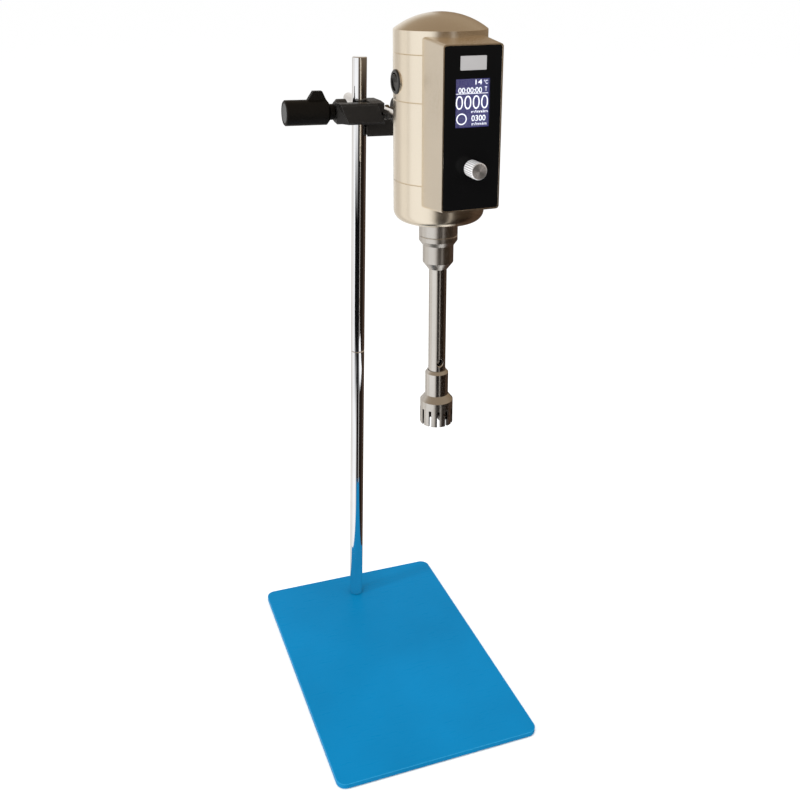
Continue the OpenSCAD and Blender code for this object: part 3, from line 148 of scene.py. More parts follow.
class Graph(Tree):
    """Builds the node tree of one material around a Principled shader."""

    def __init__(self, name: str) -> None:
        """Starts a new material.

        Args:
            name: name of the new material.
        """
        self.material = bpy.data.materials.new(name)
        self.material.use_nodes = True
        super().__init__(self.material.node_tree)
        self.output = self.node("ShaderNodeOutputMaterial")
        self.shader = self.node("ShaderNodeBsdfPrincipled")
        self.link(self.shader.outputs[0], self.output.inputs["Surface"])
        self.position = self.node("ShaderNodeTexCoord").outputs["Object"]

    def set(self, name: str, value: object) -> None:
        """Sets an input of the Principled shader, colours given as three numbers."""
        if isinstance(value, tuple) and len(value) == 3:
            value = (*value, 1.0)
        self.plug(self.shader.inputs[name], value)

    def mapped(self, scale: Triple, centre: Vector | None = None) -> bpy.types.NodeSocket:
        """Scales object coordinates about a centre.

        Args:
            scale: factor along each axis.
            centre: point that becomes the origin.

        Returns:
            The mapped coordinates.
        """
        mapping = self.node("ShaderNodeMapping")
        mapping.inputs["Scale"].default_value = scale
        if centre is not None:
            mapping.inputs["Location"].default_value = [-c * s for c, s in zip(centre, scale)]
        self.link(self.position, mapping.inputs["Vector"])
        return mapping.outputs[0]

    def noise(
        self, scale: float, detail: float = 3.0, stretch: Triple = (1.0, 1.0, 1.0)
    ) -> bpy.types.NodeSocket:
        """Adds a noise texture in object space.

        Args:
            scale: features per metre.
            detail: octaves.
            stretch: relative scale along each axis.

        Returns:
            The noise value.
        """
        texture = self.node("ShaderNodeTexNoise")
        texture.inputs["Scale"].default_value = scale
        texture.inputs["Detail"].default_value = detail
        self.link(self.mapped(stretch), texture.inputs["Vector"])
        return texture.outputs[0]

    def span(
        self, factor: object, low: float, high: float, start: float = 0.0, end: float = 1.0
    ) -> bpy.types.NodeSocket:
        """Maps a value from one range to another, clamped.

        Args:
            factor: the value.
            low: where the new range starts.
            high: where the new range ends.
            start: lowest input.
            end: highest input.

        Returns:
            The mapped value.
        """
        made = self.node("ShaderNodeMapRange")
        self.plug(made.inputs["Value"], factor)
        for key, value in (("From Min", start), ("From Max", end), ("To Min", low), ("To Max", high)):
            made.inputs[key].default_value = value
        return made.outputs[0]

    def rounded(self, radius: float) -> bpy.types.NodeSocket:
        """Normal that rolls over sharp edges.

        Args:
            radius: edge radius in metres.

        Returns:
            The bevelled normal.
        """
        bevel = self.node("ShaderNodeBevel", samples=4)
        bevel.inputs["Radius"].default_value = radius
        return bevel.outputs[0]

    def edges(self, radius: float) -> bpy.types.NodeSocket:
        """Mask that is 1 on sharp edges and 0 on open surfaces.

        Args:
            radius: reach of the mask in metres.

        Returns:
            The mask.
        """
        dot = self.node("ShaderNodeVectorMath", operation="DOT_PRODUCT")
        self.link(self.rounded(radius), dot.inputs[0])
        self.link(self.node("ShaderNodeNewGeometry").outputs["Normal"], dot.inputs[1])
        return self.span(dot.outputs["Value"], 1.0, 0.0, 0.80, 0.99)

    def open_sky(self, reach: float) -> bpy.types.NodeSocket:
        """Mask that is 1 on open surfaces and 0 deep in slots and bores.

        Args:
            reach: how near a wall has to be to count, in metres.

        Returns:
            The mask.
        """
        hidden = self.node("ShaderNodeAmbientOcclusion", samples=8)
        hidden.inputs["Distance"].default_value = reach
        return self.span(hidden.outputs["AO"], 0.0, 1.0, 0.35, 0.85)

    def relief(self, height: bpy.types.NodeSocket, depth: float, edge: float = 0.0) -> None:
        """Gives the shader a bump, over rounded edges where a radius is given.

        Args:
            height: value from 0 to 1.
            depth: height of the relief in metres.
            edge: edge radius in metres.
        """
        bump = self.node("ShaderNodeBump")
        bump.inputs["Strength"].default_value = 1.0
        bump.inputs["Distance"].default_value = depth
        self.link(height, bump.inputs["Height"])
        if edge > 0:
            self.link(self.rounded(edge), bump.inputs["Normal"])
        self.link(bump.outputs[0], self.shader.inputs["Normal"])

    def angle(self, centre: Vector, axis: Axis) -> bpy.types.NodeSocket:
        """Angle about an axis through a point, in radians.

        Args:
            centre: point on the axis.
            axis: direction of the axis.

        Returns:
            The angle from -pi to pi.
        """
        parts = self.node("ShaderNodeSeparateXYZ")
        self.link(self.mapped((1, 1, 1), centre), parts.inputs[0])
        first, second = {Axis.X: (1, 2), Axis.Y: (0, 2), Axis.Z: (0, 1)}[axis]
        return self.math("ARCTAN2", parts.outputs[second], parts.outputs[first])

    def along(self, axis: Axis) -> bpy.types.NodeSocket:
        """Object coordinate along an axis."""
        parts = self.node("ShaderNodeSeparateXYZ")
        self.link(self.position, parts.inputs[0])
        return parts.outputs[axis.name]

    def facing(self, axis: Axis) -> bpy.types.NodeSocket:
        """Mask that is 1 where the surface faces along an axis and 0 where it runs beside it."""
        dot = self.node("ShaderNodeVectorMath", operation="DOT_PRODUCT")
        self.link(self.node("ShaderNodeTexCoord").outputs["Normal"], dot.inputs[0])
        dot.inputs[1].default_value = axis.value
        return self.span(self.math("ABSOLUTE", dot.outputs["Value"]), 0.0, 1.0, 0.6, 0.8)


# ----------------------------------------
# Finishes
# ----------------------------------------


@dataclass(frozen=True)
class Finish:
    """Base of every finish: a name and a colour."""

    name: str
    colour: Triple
    roughness: float = 0.4

    cache: ClassVar[dict[str, bpy.types.Material]] = {}

    def material(self) -> bpy.types.Material:
        """Returns the finish's material, made once."""
        if self.name not in Finish.cache:
            graph = Graph(self.name)
            self.build(graph)
            Finish.cache[self.name] = graph.material
        return Finish.cache[self.name]

    def build(self, graph: Graph) -> None:
        """Fills the tree. Every finish has its own."""
        raise NotImplementedError

    def shade(self, factor: float) -> Triple:
        """Returns the colour made lighter or darker."""
        return tuple(min(1.0, c * factor) for c in self.colour)


@dataclass(frozen=True)
class SatinCoat(Finish):
    """Fine metallic coating with a silky sheen, as on the motor head."""

    metallic: float = 1.0
    flake_scale: float = 9000.0
    peel_scale: float = 700.0
    peel_depth: float = 0.000012
    edge: float = 0.0004

    def build(self, graph: Graph) -> None:
        """Fills the tree."""
        flakes = graph.noise(self.flake_scale, 1.0)
        cloud = graph.noise(9.0, 3.0)
        tone = graph.mix(graph.span(cloud, 0.0, 1.0, 0.35, 0.65), self.shade(0.97), self.shade(1.03))
        sparkle = graph.mix(graph.span(flakes, 0.0, 0.35, 0.55, 0.75), tone, self.shade(1.22))
        # Edges lighter: partly wear on the paint, partly a painted edge highlight.
        edge_wear_and_highlight = graph.math("MULTIPLY", graph.edges(0.0008), 0.6)
        graph.set("Base Color", graph.mix(edge_wear_and_highlight, sparkle, self.shade(1.25)))
        graph.set("Metallic", self.metallic)
        graph.set("Roughness", graph.span(flakes, self.roughness - 0.04, self.roughness + 0.06, 0.3, 0.7))
        graph.set("Coat Weight", 0.12)
        graph.set("Coat Roughness", 0.2)
        graph.relief(graph.noise(self.peel_scale, 2.0), self.peel_depth, self.edge)


@dataclass(frozen=True)
class PowderCoat(Finish):
    """Smooth coloured powder coating with a low orange peel, faint handling marks and a painted highlight on
    its edges.
    """

    edge_highlight_colour: Triple = (0.2, 0.6, 0.8)
    peel_depth: float = 0.00002

    def build(self, graph: Graph) -> None:
        """Fills the tree."""
        cloud = graph.noise(7.0, 4.0)
        speck = graph.noise(2600.0, 2.0)
        marks = graph.noise(60.0, 6.0, (1.0, 14.0, 1.0))
        tone = graph.mix(graph.span(cloud, 0.0, 1.0, 0.3, 0.7), self.shade(0.92), self.shade(1.08))
        fine = graph.mix(graph.span(speck, 0.0, 0.25, 0.5, 0.8), tone, self.shade(1.3))
        # Painted highlight: the edges lighter and bluer.
        lighter_edges = graph.math("MULTIPLY", graph.edges(0.0014), 0.6)
        graph.set("Base Color", graph.mix(lighter_edges, fine, self.edge_highlight_colour))
        graph.set("Roughness", graph.span(marks, self.roughness - 0.05, self.roughness + 0.12, 0.35, 0.75))
        graph.set("Specular IOR Level", 0.06)
        graph.relief(graph.noise(420.0, 2.0), self.peel_depth, 0.0007)


@dataclass(frozen=True)
class PolishedMetal(Finish):
    """Bright metal with polishing lines that run round or along the piece, and painted shade that darkens it
    deep in slots and bores where a reach is given.
    """

    line_stretch: Triple = (0.06, 0.06, 1.0)
    line_depth: float = 0.0000015
    smudge: float = 0.05
    metallic: float = 1.0
    edge: float = 0.0002
    recess_shade_reach: float = 0.0

    def build(self, graph: Graph) -> None:
        """Fills the tree."""
        lines = graph.noise(2600.0, 3.0, self.line_stretch)
        smudges = graph.noise(28.0, 5.0)
        cloudy = graph.span(smudges, 0.0, 1.0, 0.3, 0.75)
        tone = graph.mix(cloudy, self.shade(1.0), self.shade(0.93))
        # Painted shade: darker deep in slots and bores.
        if self.recess_shade_reach > 0:
            tone = graph.mix(graph.open_sky(self.recess_shade_reach), self.shade(0.12), tone)
        graph.set("Base Color", tone)
        graph.set("Metallic", self.metallic)
        rough = graph.span(smudges, self.roughness, self.roughness + self.smudge, 0.4, 0.8)
        graph.set("Roughness", graph.math("ADD", rough, graph.math("MULTIPLY", lines, self.roughness * 0.6)))
        graph.relief(lines, self.line_depth, self.edge)


@dataclass(frozen=True)
class CastEnamel(Finish):
    """Black enamel over a cast surface, lighter in patches on its edges."""

    edge_patch_colour: Triple = (0.10, 0.10, 0.10)

    def build(self, graph: Graph) -> None:
        """Fills the tree."""
        pits = graph.noise(900.0, 4.0)
        cloud = graph.noise(45.0, 4.0)
        tone = graph.mix(cloud, self.shade(0.8), self.shade(1.25))
        patches = graph.span(graph.noise(240.0, 4.0), 0.2, 1.0, 0.4, 0.65)
        # Edges lighter in patches.
        lighter_edge_patches = graph.math("MULTIPLY", graph.edges(0.0009), patches)
        graph.set("Base Color", graph.mix(lighter_edge_patches, tone, self.edge_patch_colour))
        graph.set("Roughness", graph.span(pits, self.roughness - 0.06, self.roughness + 0.12, 0.3, 0.7))
        graph.set("Specular IOR Level", 0.25)
        graph.relief(pits, 0.00006, 0.0006)


@dataclass(frozen=True)
class MouldedPlastic(Finish):
    """Moulded plastic with a spark-eroded grain."""

    grain_scale: float = 2200.0
    grain_depth: float = 0.00002
    edge: float = 0.0004
    specular: float = 0.5

    def build(self, graph: Graph) -> None:
        """Fills the tree."""
        grain = graph.noise(self.grain_scale, 2.0)
        cloud = graph.noise(60.0, 3.0)
        tone = graph.mix(cloud, self.shade(0.85), self.shade(1.15))
        lighter_edges = graph.math("MULTIPLY", graph.edges(0.0006), 0.4)
        graph.set("Base Color", graph.mix(lighter_edges, tone, self.shade(2.2)))
        graph.set("Specular IOR Level", self.specular)
        graph.set("Roughness", graph.span(cloud, self.roughness - 0.05, self.roughness + 0.08, 0.3, 0.7))
        graph.relief(grain, self.grain_depth, self.edge)


@dataclass(frozen=True)
class GlossPanel(Finish):
    """Back-printed gloss panel with a little dust and fine swirl marks."""

    dust_colour: Triple = (0.05, 0.05, 0.055)

    def build(self, graph: Graph) -> None:
        """Fills the tree."""
        dust = graph.noise(5200.0, 1.0)
        swirls = graph.noise(130.0, 6.0)
        specks = graph.span(dust, 0.0, 0.35, 0.76, 0.88)
        graph.set("Base Color", graph.mix(specks, self.colour, self.dust_colour))
        graph.set("Roughness", graph.span(swirls, self.roughness, self.roughness + 0.07, 0.35, 0.75))
        graph.set("Specular IOR Level", 0.06)
        graph.relief(swirls, 0.000002, 0.0002)


@dataclass(frozen=True)
class ClearWindow(Finish):
    """Thin clear pane with faint finger marks."""

    def build(self, graph: Graph) -> None:
        """Fills the tree."""
        marks = graph.noise(90.0, 5.0)
        graph.set("Base Color", self.colour)
        graph.set("Transmission Weight", 1.0)
        graph.set("IOR", 1.2)
        graph.set("Roughness", graph.span(marks, self.roughness, self.roughness + 0.03, 0.45, 0.8))


@dataclass(frozen=True)
class BacklitGlass(Finish):
    """Backlit display glass, brighter towards one side, with its pixel grid."""

    glow: Triple = (0.05, 0.05, 0.3)
    glow_right: Triple = (0.12, 0.13, 0.5)
    strength: float = 1.0
    centre: Triple = (0.0, 0.0, 0.0)
    half_width: float = 0.016
    pixel: float = 0.00032

    def build(self, graph: Graph) -> None:
        """Fills the tree."""
        across = graph.math("SUBTRACT", graph.along(Axis.X), self.centre[0])
        side = graph.span(across, 0.0, 1.0, -self.half_width, self.half_width)
        light = graph.mix(side, self.glow, self.glow_right)
        columns = graph.math("PINGPONG", graph.along(Axis.X), self.pixel / 2)
        rows = graph.math("PINGPONG", graph.along(Axis.Z), self.pixel / 2)
        lines = graph.math("MINIMUM", columns, rows)
        cell = graph.span(lines, 0.75, 1.0, 0.0, self.pixel / 8)
        graph.set("Base Color", self.colour)
        graph.set("Roughness", self.roughness)
        graph.set("Emission Color", graph.mix(cell, self.glow, light))
        graph.set("Emission Strength", self.strength)


@dataclass(frozen=True)
class LitSegment(Finish):
    """Glowing segment of a display."""

    strength: float = 1.6

    def build(self, graph: Graph) -> None:
        """Fills the tree."""
        glow = graph.noise(500.0, 2.0)
        graph.set("Base Color", (0.6, 0.6, 0.65))
        graph.set("Roughness", self.roughness)
        graph.set("Emission Color", graph.mix(glow, self.shade(0.93), self.colour))
        graph.set("Emission Strength", self.strength)


@dataclass(frozen=True)
class TurnedFace(Finish):
    """Turned metal whose end face has a painted sheen of light and dark wedges about the piece's axis, over
    brushing streaks.
    """

    centre: Triple = (0.0, 0.0, 0.0)
    axis: Axis = Axis.Y
    side_metallic: float = 1.0
    dark_wedge: float = 0.5
    flutes: int = 24

    def build(self, graph: Graph) -> None:
        """Fills the tree."""
        angle = graph.angle(Vector(self.centre), self.axis)
        # Painted sheen: light and dark wedges twice round the axis.
        wedge = graph.math("MULTIPLY", graph.math("SINE", graph.math("MULTIPLY", angle, 2.0)), 0.5)
        rays = graph.node("ShaderNodeTexNoise", noise_dimensions="1D")
        rays.inputs["Scale"].default_value = 26.0
        rays.inputs["Detail"].default_value = 5.0
        graph.link(angle, rays.inputs["W"])
        streaks = graph.span(rays.outputs[0], -0.3, 0.3, 0.3, 0.7)
        sheen = graph.span(graph.math("ADD", graph.math("ADD", wedge, 0.5), streaks), 0.0, 1.0)
        end = graph.facing(self.axis)
        face = graph.mix(sheen, self.shade(self.dark_wedge), self.shade(1.05))
        # Side darker and lighter round the flutes: painted shade on the knob's flutes, and the dark gaps
        # between the commutator's bars.
        waves = graph.math("SINE", graph.math("MULTIPLY", angle, self.flutes))
        side = graph.mix(graph.span(waves, 0.0, 1.0, -0.9, 0.3), self.shade(0.4), self.shade(1.12))
        graph.set("Base Color", graph.mix(end, side, face))
        graph.set("Metallic", graph.span(end, self.side_metallic, 0.9))
        graph.set("Roughness", graph.span(rays.outputs[0], self.roughness, self.roughness + 0.15, 0.3, 0.7))
        graph.relief(rays.outputs[0], 0.000006, 0.00015)


@dataclass(frozen=True)
class Threaded(Finish):
    """Steel with a thread cut along its axis."""

    axis: Axis = Axis.X
    pitch: float = 0.00125

    def build(self, graph: Graph) -> None:
        """Fills the tree."""
        turns = graph.math("MULTIPLY", graph.along(self.axis), 2 * math.pi / self.pitch)
        flank = graph.span(graph.math("SINE", turns), 0.0, 1.0, -1.0, 1.0)
        # Painted shade: darker in the thread's roots, lighter on its crests.
        graph.set("Base Color", graph.mix(flank, self.shade(0.45), self.shade(1.05)))
        graph.set("Metallic", 1.0)
        grain = graph.noise(700.0)
        graph.set("Roughness", graph.span(grain, self.roughness - 0.05, self.roughness + 0.1, 0.3, 0.7))
        graph.relief(flank, 0.0003)


@dataclass(frozen=True)
class Laminated(Finish):
    """Stack of electrical steel sheets."""

    sheet: float = 0.0005
    rust_colour: Triple = (0.20, 0.12, 0.07)

    def build(self, graph: Graph) -> None:
        """Fills the tree."""
        stack = graph.math("SINE", graph.math("MULTIPLY", graph.along(Axis.Z), 2 * math.pi / self.sheet))
        line = graph.span(stack, 0.0, 1.0, -1.0, 1.0)
        rust = graph.span(graph.noise(70.0, 4.0), 0.0, 0.5, 0.5, 0.8)
        graph.set("Base Color", graph.mix(rust, self.colour, self.rust_colour))
        graph.set("Metallic", 0.85)
        graph.set("Roughness", self.roughness)
        graph.relief(line, 0.00008)


@dataclass(frozen=True)
class WoundWire(Finish):
    """Varnished copper wire, wound in layers."""

    wire: float = 0.0006

    def build(self, graph: Graph) -> None:
        """Fills the tree."""
        across = graph.math("ADD", graph.along(Axis.Y), graph.along(Axis.Z))
        lay = graph.math("ADD", graph.along(Axis.X), across)
        turns = graph.math("SINE", graph.math("MULTIPLY", lay, 2 * math.pi / self.wire))
        ridge = graph.span(turns, 0.0, 1.0, -1.0, 1.0)
        # Painted shade: darker between the turns of wire, lighter on their tops.
        graph.set("Base Color", graph.mix(ridge, self.shade(0.5), self.shade(1.1)))
        graph.set("Metallic", 0.8)
        graph.set("Roughness", self.roughness)
        graph.set("Coat Weight", 0.5)
        graph.relief(ridge, 0.00012)


@dataclass(frozen=True)
class BoardResist(Finish):
    """Circuit board with its green resist, tracks and dark parts behind it."""

    back: float = 0.0
    part_colour: Triple = (0.02, 0.02, 0.025)

    def build(self, graph: Graph) -> None:
        """Fills the tree."""
        tracks = graph.node("ShaderNodeTexBrick")
        graph.link(graph.mapped((1, 1, 1)), tracks.inputs["Vector"])
        tracks.inputs["Scale"].default_value = 240.0
        tracks.inputs["Mortar Size"].default_value = 0.03
        resist = graph.mix(tracks.outputs["Fac"], self.colour, self.shade(1.9))
        behind = graph.math("GREATER_THAN", graph.along(Axis.Y), self.back)
        graph.set("Base Color", graph.mix(behind, resist, self.part_colour))
        graph.set("Roughness", graph.span(graph.noise(300.0), self.roughness, self.roughness + 0.2, 0.3, 0.7))
        graph.relief(tracks.outputs["Fac"], 0.00003)


class Finishes:
    """The finishes of this object, by name."""

    gold = SatinCoat("champagne_coat", (0.80, 0.715, 0.585), 0.24)
    blue = PowderCoat("blue_powder_coat", (0.001, 0.163, 0.355), 0.32, edge_highlight_colour=(0.06, 0.42, 0.72))
    chrome = PolishedMetal("rod_chrome", (0.88, 0.885, 0.90), 0.03)
    satin_steel = PolishedMetal(
        "satin_steel", (0.60, 0.57, 0.53), 0.22, line_stretch=ALONG_Z, line_depth=0.000002, smudge=0.06
    )
    stainless = replace(
        satin_steel, name="stainless_polish", colour=(0.64, 0.61, 0.57), roughness=0.15
    )
    # Painted shade in the stator's slots and round the rotor.
    mixing_steel = replace(stainless, name="mixing_steel", recess_shade_reach=0.02)
    arm = replace(
        satin_steel, name="arm_polish", colour=(0.85, 0.84, 0.83), roughness=0.16, line_stretch=ALONG_Y
    )
    turned_steel = PolishedMetal(
        "turned_steel", (0.55, 0.55, 0.56), 0.24, line_stretch=(0.06, 1.0, 1.0), line_depth=0.000004,
        smudge=0.1,
    )
    thread_x = Threaded("clamp_thread", (0.42, 0.42, 0.43), 0.3, Axis.X)
    thread_z = Threaded("stud_thread", (0.42, 0.42, 0.43), 0.3, Axis.Z)
    brass = PolishedMetal("machined_brass", (0.72, 0.52, 0.22), 0.22)
    # Darker brass for the pads: partly aged brass, partly painted shade inside the boss head.
    pad_brass = PolishedMetal("aged_shaded_pad_brass", (0.26, 0.22, 0.15), 0.4)
    clamp = CastEnamel("clamp_enamel", (0.0130, 0.0118, 0.0108), 0.42, edge_patch_colour=(0.09, 0.09, 0.088))
    black_knob = MouldedPlastic("knob_plastic", (0.0040, 0.0032, 0.0024), 0.46, specular=0.15)
    black_part = MouldedPlastic(
        "switch_plastic", (0.008, 0.0078, 0.0075), 0.32, grain_scale=3600.0, grain_depth=0.000008
    )
    end_disc = MouldedPlastic("knob_disc_plastic", (0.055, 0.057, 0.058), 0.5)
    panel = GlossPanel("panel_gloss", (0.0036, 0.0036, 0.0037), 0.08)
    window = ClearWindow("window_clear", (1.0, 1.0, 1.0), 0.02)
    badge = PolishedMetal(
        "badge_brushed", (0.42, 0.41, 0.41), 0.4, line_stretch=(0.03, 1.0, 1.0), line_depth=0.000003,
        smudge=0.1, metallic=0.15,
    )
    rubber = MouldedPlastic("mat_rubber", (0.012, 0.012, 0.013), 0.8, grain_scale=900.0, grain_depth=0.0001)
    sheet_steel = Laminated("core_sheets", (0.22, 0.22, 0.23), 0.5)
    copper = WoundWire("varnished_wire", (0.60, 0.24, 0.07), 0.35)
    carbon = MouldedPlastic(
        "pressed_carbon", (0.02, 0.02, 0.022), 0.6, grain_scale=1500.0, grain_depth=0.00003
    )
    casting = PolishedMetal(
        "die_casting", (0.50, 0.51, 0.52), 0.4, line_stretch=(1.0, 1.0, 1.0), line_depth=0.00002, smudge=0.1
    )
    bearing = PolishedMetal("ground_steel", (0.62, 0.62, 0.63), 0.14)
    bush = MouldedPlastic("white_polymer", (0.72, 0.72, 0.69), 0.45)
    fan = MouldedPlastic("fan_polymer", (0.55, 0.55, 0.52), 0.5)
    segment = LitSegment("display_segment", (0.88, 0.92, 1.0), 0.4, strength=0.9)


# ----------------------------------------
# Making pieces
# ----------------------------------------


def dress(node: str, finish: Finish) -> None:
    """Gives a CAD node a finish.

    Args:
        node: name of the node.
        finish: its finish.
    """
    solid = frame["nodes"][node]
    if not solid.material_slots:
        solid.data.materials.append(None)
    for slot in solid.material_slots:
        slot.material = finish.material()
    LOG.info("dressed %s in %s", node, finish.name)


def middle(node: str) -> Vector:
    """Returns the middle of a CAD node's box."""
    low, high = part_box(node)
    return (low + high) / 2


def mesh_object(name: str, shape: bmesh.types.BMesh, material: bpy.types.Material) -> bpy.types.Object:
    """Turns a bmesh into an object in the scene.

    Args:
        name: name of the object and of its mesh.
        shape: its shape, freed here.
        material: its material.

    Returns:
        The new object.
    """
    data = bpy.data.meshes.new(name)
    shape.to_mesh(data)
    shape.free()
    data.materials.append(material)
    made = bpy.data.objects.new(name, data)
    bpy.context.scene.collection.objects.link(made)
    return made


def add_piece(name: str, shape: bmesh.types.BMesh, finish: Finish, body: str) -> None:
    """Adds a piece that rides on a body.

    Args:
        name: name of the new piece.
        shape: its shape, in the CAD frame; freed here.
        finish: its finish.
        body: body that carries it.
    """
    made = mesh_object(name, shape, finish.material())
    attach(made, body)
    LOG.info("made %s on %s", name, body)


# ----------------------------------------
# Sub-assemblies
# ----------------------------------------


@dataclass
class Assembly:
    """Group of solids that are dressed together."""

    finishes: ClassVar[dict[str, Finish]] = {}

    def build(self) -> None:
        """Dresses the solids and then adds what only shows."""
        for node, finish in self.finishes.items():
            dress(node, finish)
        self.add_details()

    def add_details(self) -> None:
        """Adds what the table of finishes can't say."""


@dataclass
class Stand(Assembly):
    """Base plate, mat and the two rod segments."""

    finishes = {
        "base_plate": Finishes.blue,
        "rubber_mat": Finishes.rubber,
        "lower_rod": Finishes.chrome,
        "upper_rod": Finishes.chrome,
        "rod_stud": Finishes.thread_z,
        "foot_screw": Finishes.thread_z,
    }


@dataclass
class Clamp(Assembly):
    """Boss head with its two screws, knobs and pads, and the arm that it holds."""

    finishes = {
        "boss_head": Finishes.clamp,
        "support_arm": Finishes.arm,
        "rod_clamp_pad": Finishes.pad_brass,
        "arm_clamp_pad": Finishes.pad_brass,
        "rod_clamp_screw": Finishes.thread_x,
        "arm_clamp_screw": Finishes.thread_x,
        "rod_clamp_knob": Finishes.black_knob,
        "arm_clamp_knob": Finishes.black_knob,
    }
    disc_radius: float = 10.2 * MM
    disc_thickness: float = 0.45 * MM
    disc_bevel: float = 0.15 * MM
    knob_recess: float = 0.6 * MM

    def add_details(self) -> None:
        """Adds the discs in the knobs' ends."""
        self.end_disc("rod", -1)
        self.end_disc("arm", 1)

    def end_disc(self, bar: str, side: int) -> None:
        """Adds the disc that closes a knob's outer end.

        Args:
            bar: which clamp, rod or arm.
            side: -1 where the knob's end faces -X, 1 where it faces +X.
        """
        low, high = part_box(f"{bar}_clamp_knob")
        axis = middle(f"{bar}_clamp_screw")
        end = low.x if side < 0 else high.x
        disc = bmesh.new()
        bmesh.ops.create_cone(
            disc, cap_ends=True, segments=64, radius1=self.disc_radius, radius2=self.disc_radius,
            depth=self.disc_thickness,
        )
        rims = [e for e in disc.edges if abs(e.verts[0].co.z - e.verts[1].co.z) < 1e-9]
        bmesh.ops.bevel(
            disc, geom=rims, offset=self.disc_bevel, affect="EDGES", segments=2, profile=0.5, material=-1
        )
        inset = self.knob_recess - self.disc_thickness / 2
        place = Matrix.Translation((end - side * inset, axis.y, axis.z))
        bmesh.ops.transform(disc, matrix=place @ Matrix.Rotation(math.pi / 2, 4, "Y"), verts=disc.verts)
        add_piece(f"{bar}_knob_disc", disc, Finishes.end_disc, f"{bar}_knob")


@dataclass
class MotorHead(Assembly):
    """Housing sections, power switch and cable gland."""

    finishes = {
        "top_cap": Finishes.gold,
        "switch_ring": Finishes.gold,
        "motor_housing": Finishes.gold,
        "bottom_bell": Finishes.gold,
        "control_box": Finishes.gold,
        "switch_bezel": Finishes.black_part,
        "power_rocker": Finishes.black_part,
        "cable_gland": Finishes.black_part,
        "arm_locknut": Finishes.turned_steel,
    }


@dataclass
class ControlPanel(Assembly):
    """Panel, display, blank badge and speed knob, with the electronics behind them."""

    finishes = {
        "control_panel": Finishes.panel,
        "display_window": Finishes.window,
        "badge_plate": Finishes.badge,
        "encoder_shaft": Finishes.turned_steel,
        "encoder_body": Finishes.black_part,
        "encoder_nut": Finishes.turned_steel,
        "encoder_hub": Finishes.bush,
        "board_screws": Finishes.turned_steel,
    }

    def add_details(self) -> None:
        """Dresses what is measured from its solid and draws on the display."""
        knob = TurnedFace(
            "knob_turned", (0.90, 0.89, 0.89), 0.24, tuple(middle("speed_knob")), Axis.Y,
            side_metallic=0.3, dark_wedge=0.4,
        )
        dress("speed_knob", knob)
        board_back = middle("control_board").y
        dress("control_board", BoardResist("board_resist", (0.02, 0.16, 0.06), 0.35, board_back))
        display = Display.measured()
        dress("display_module", display.glass())
        display.draw()


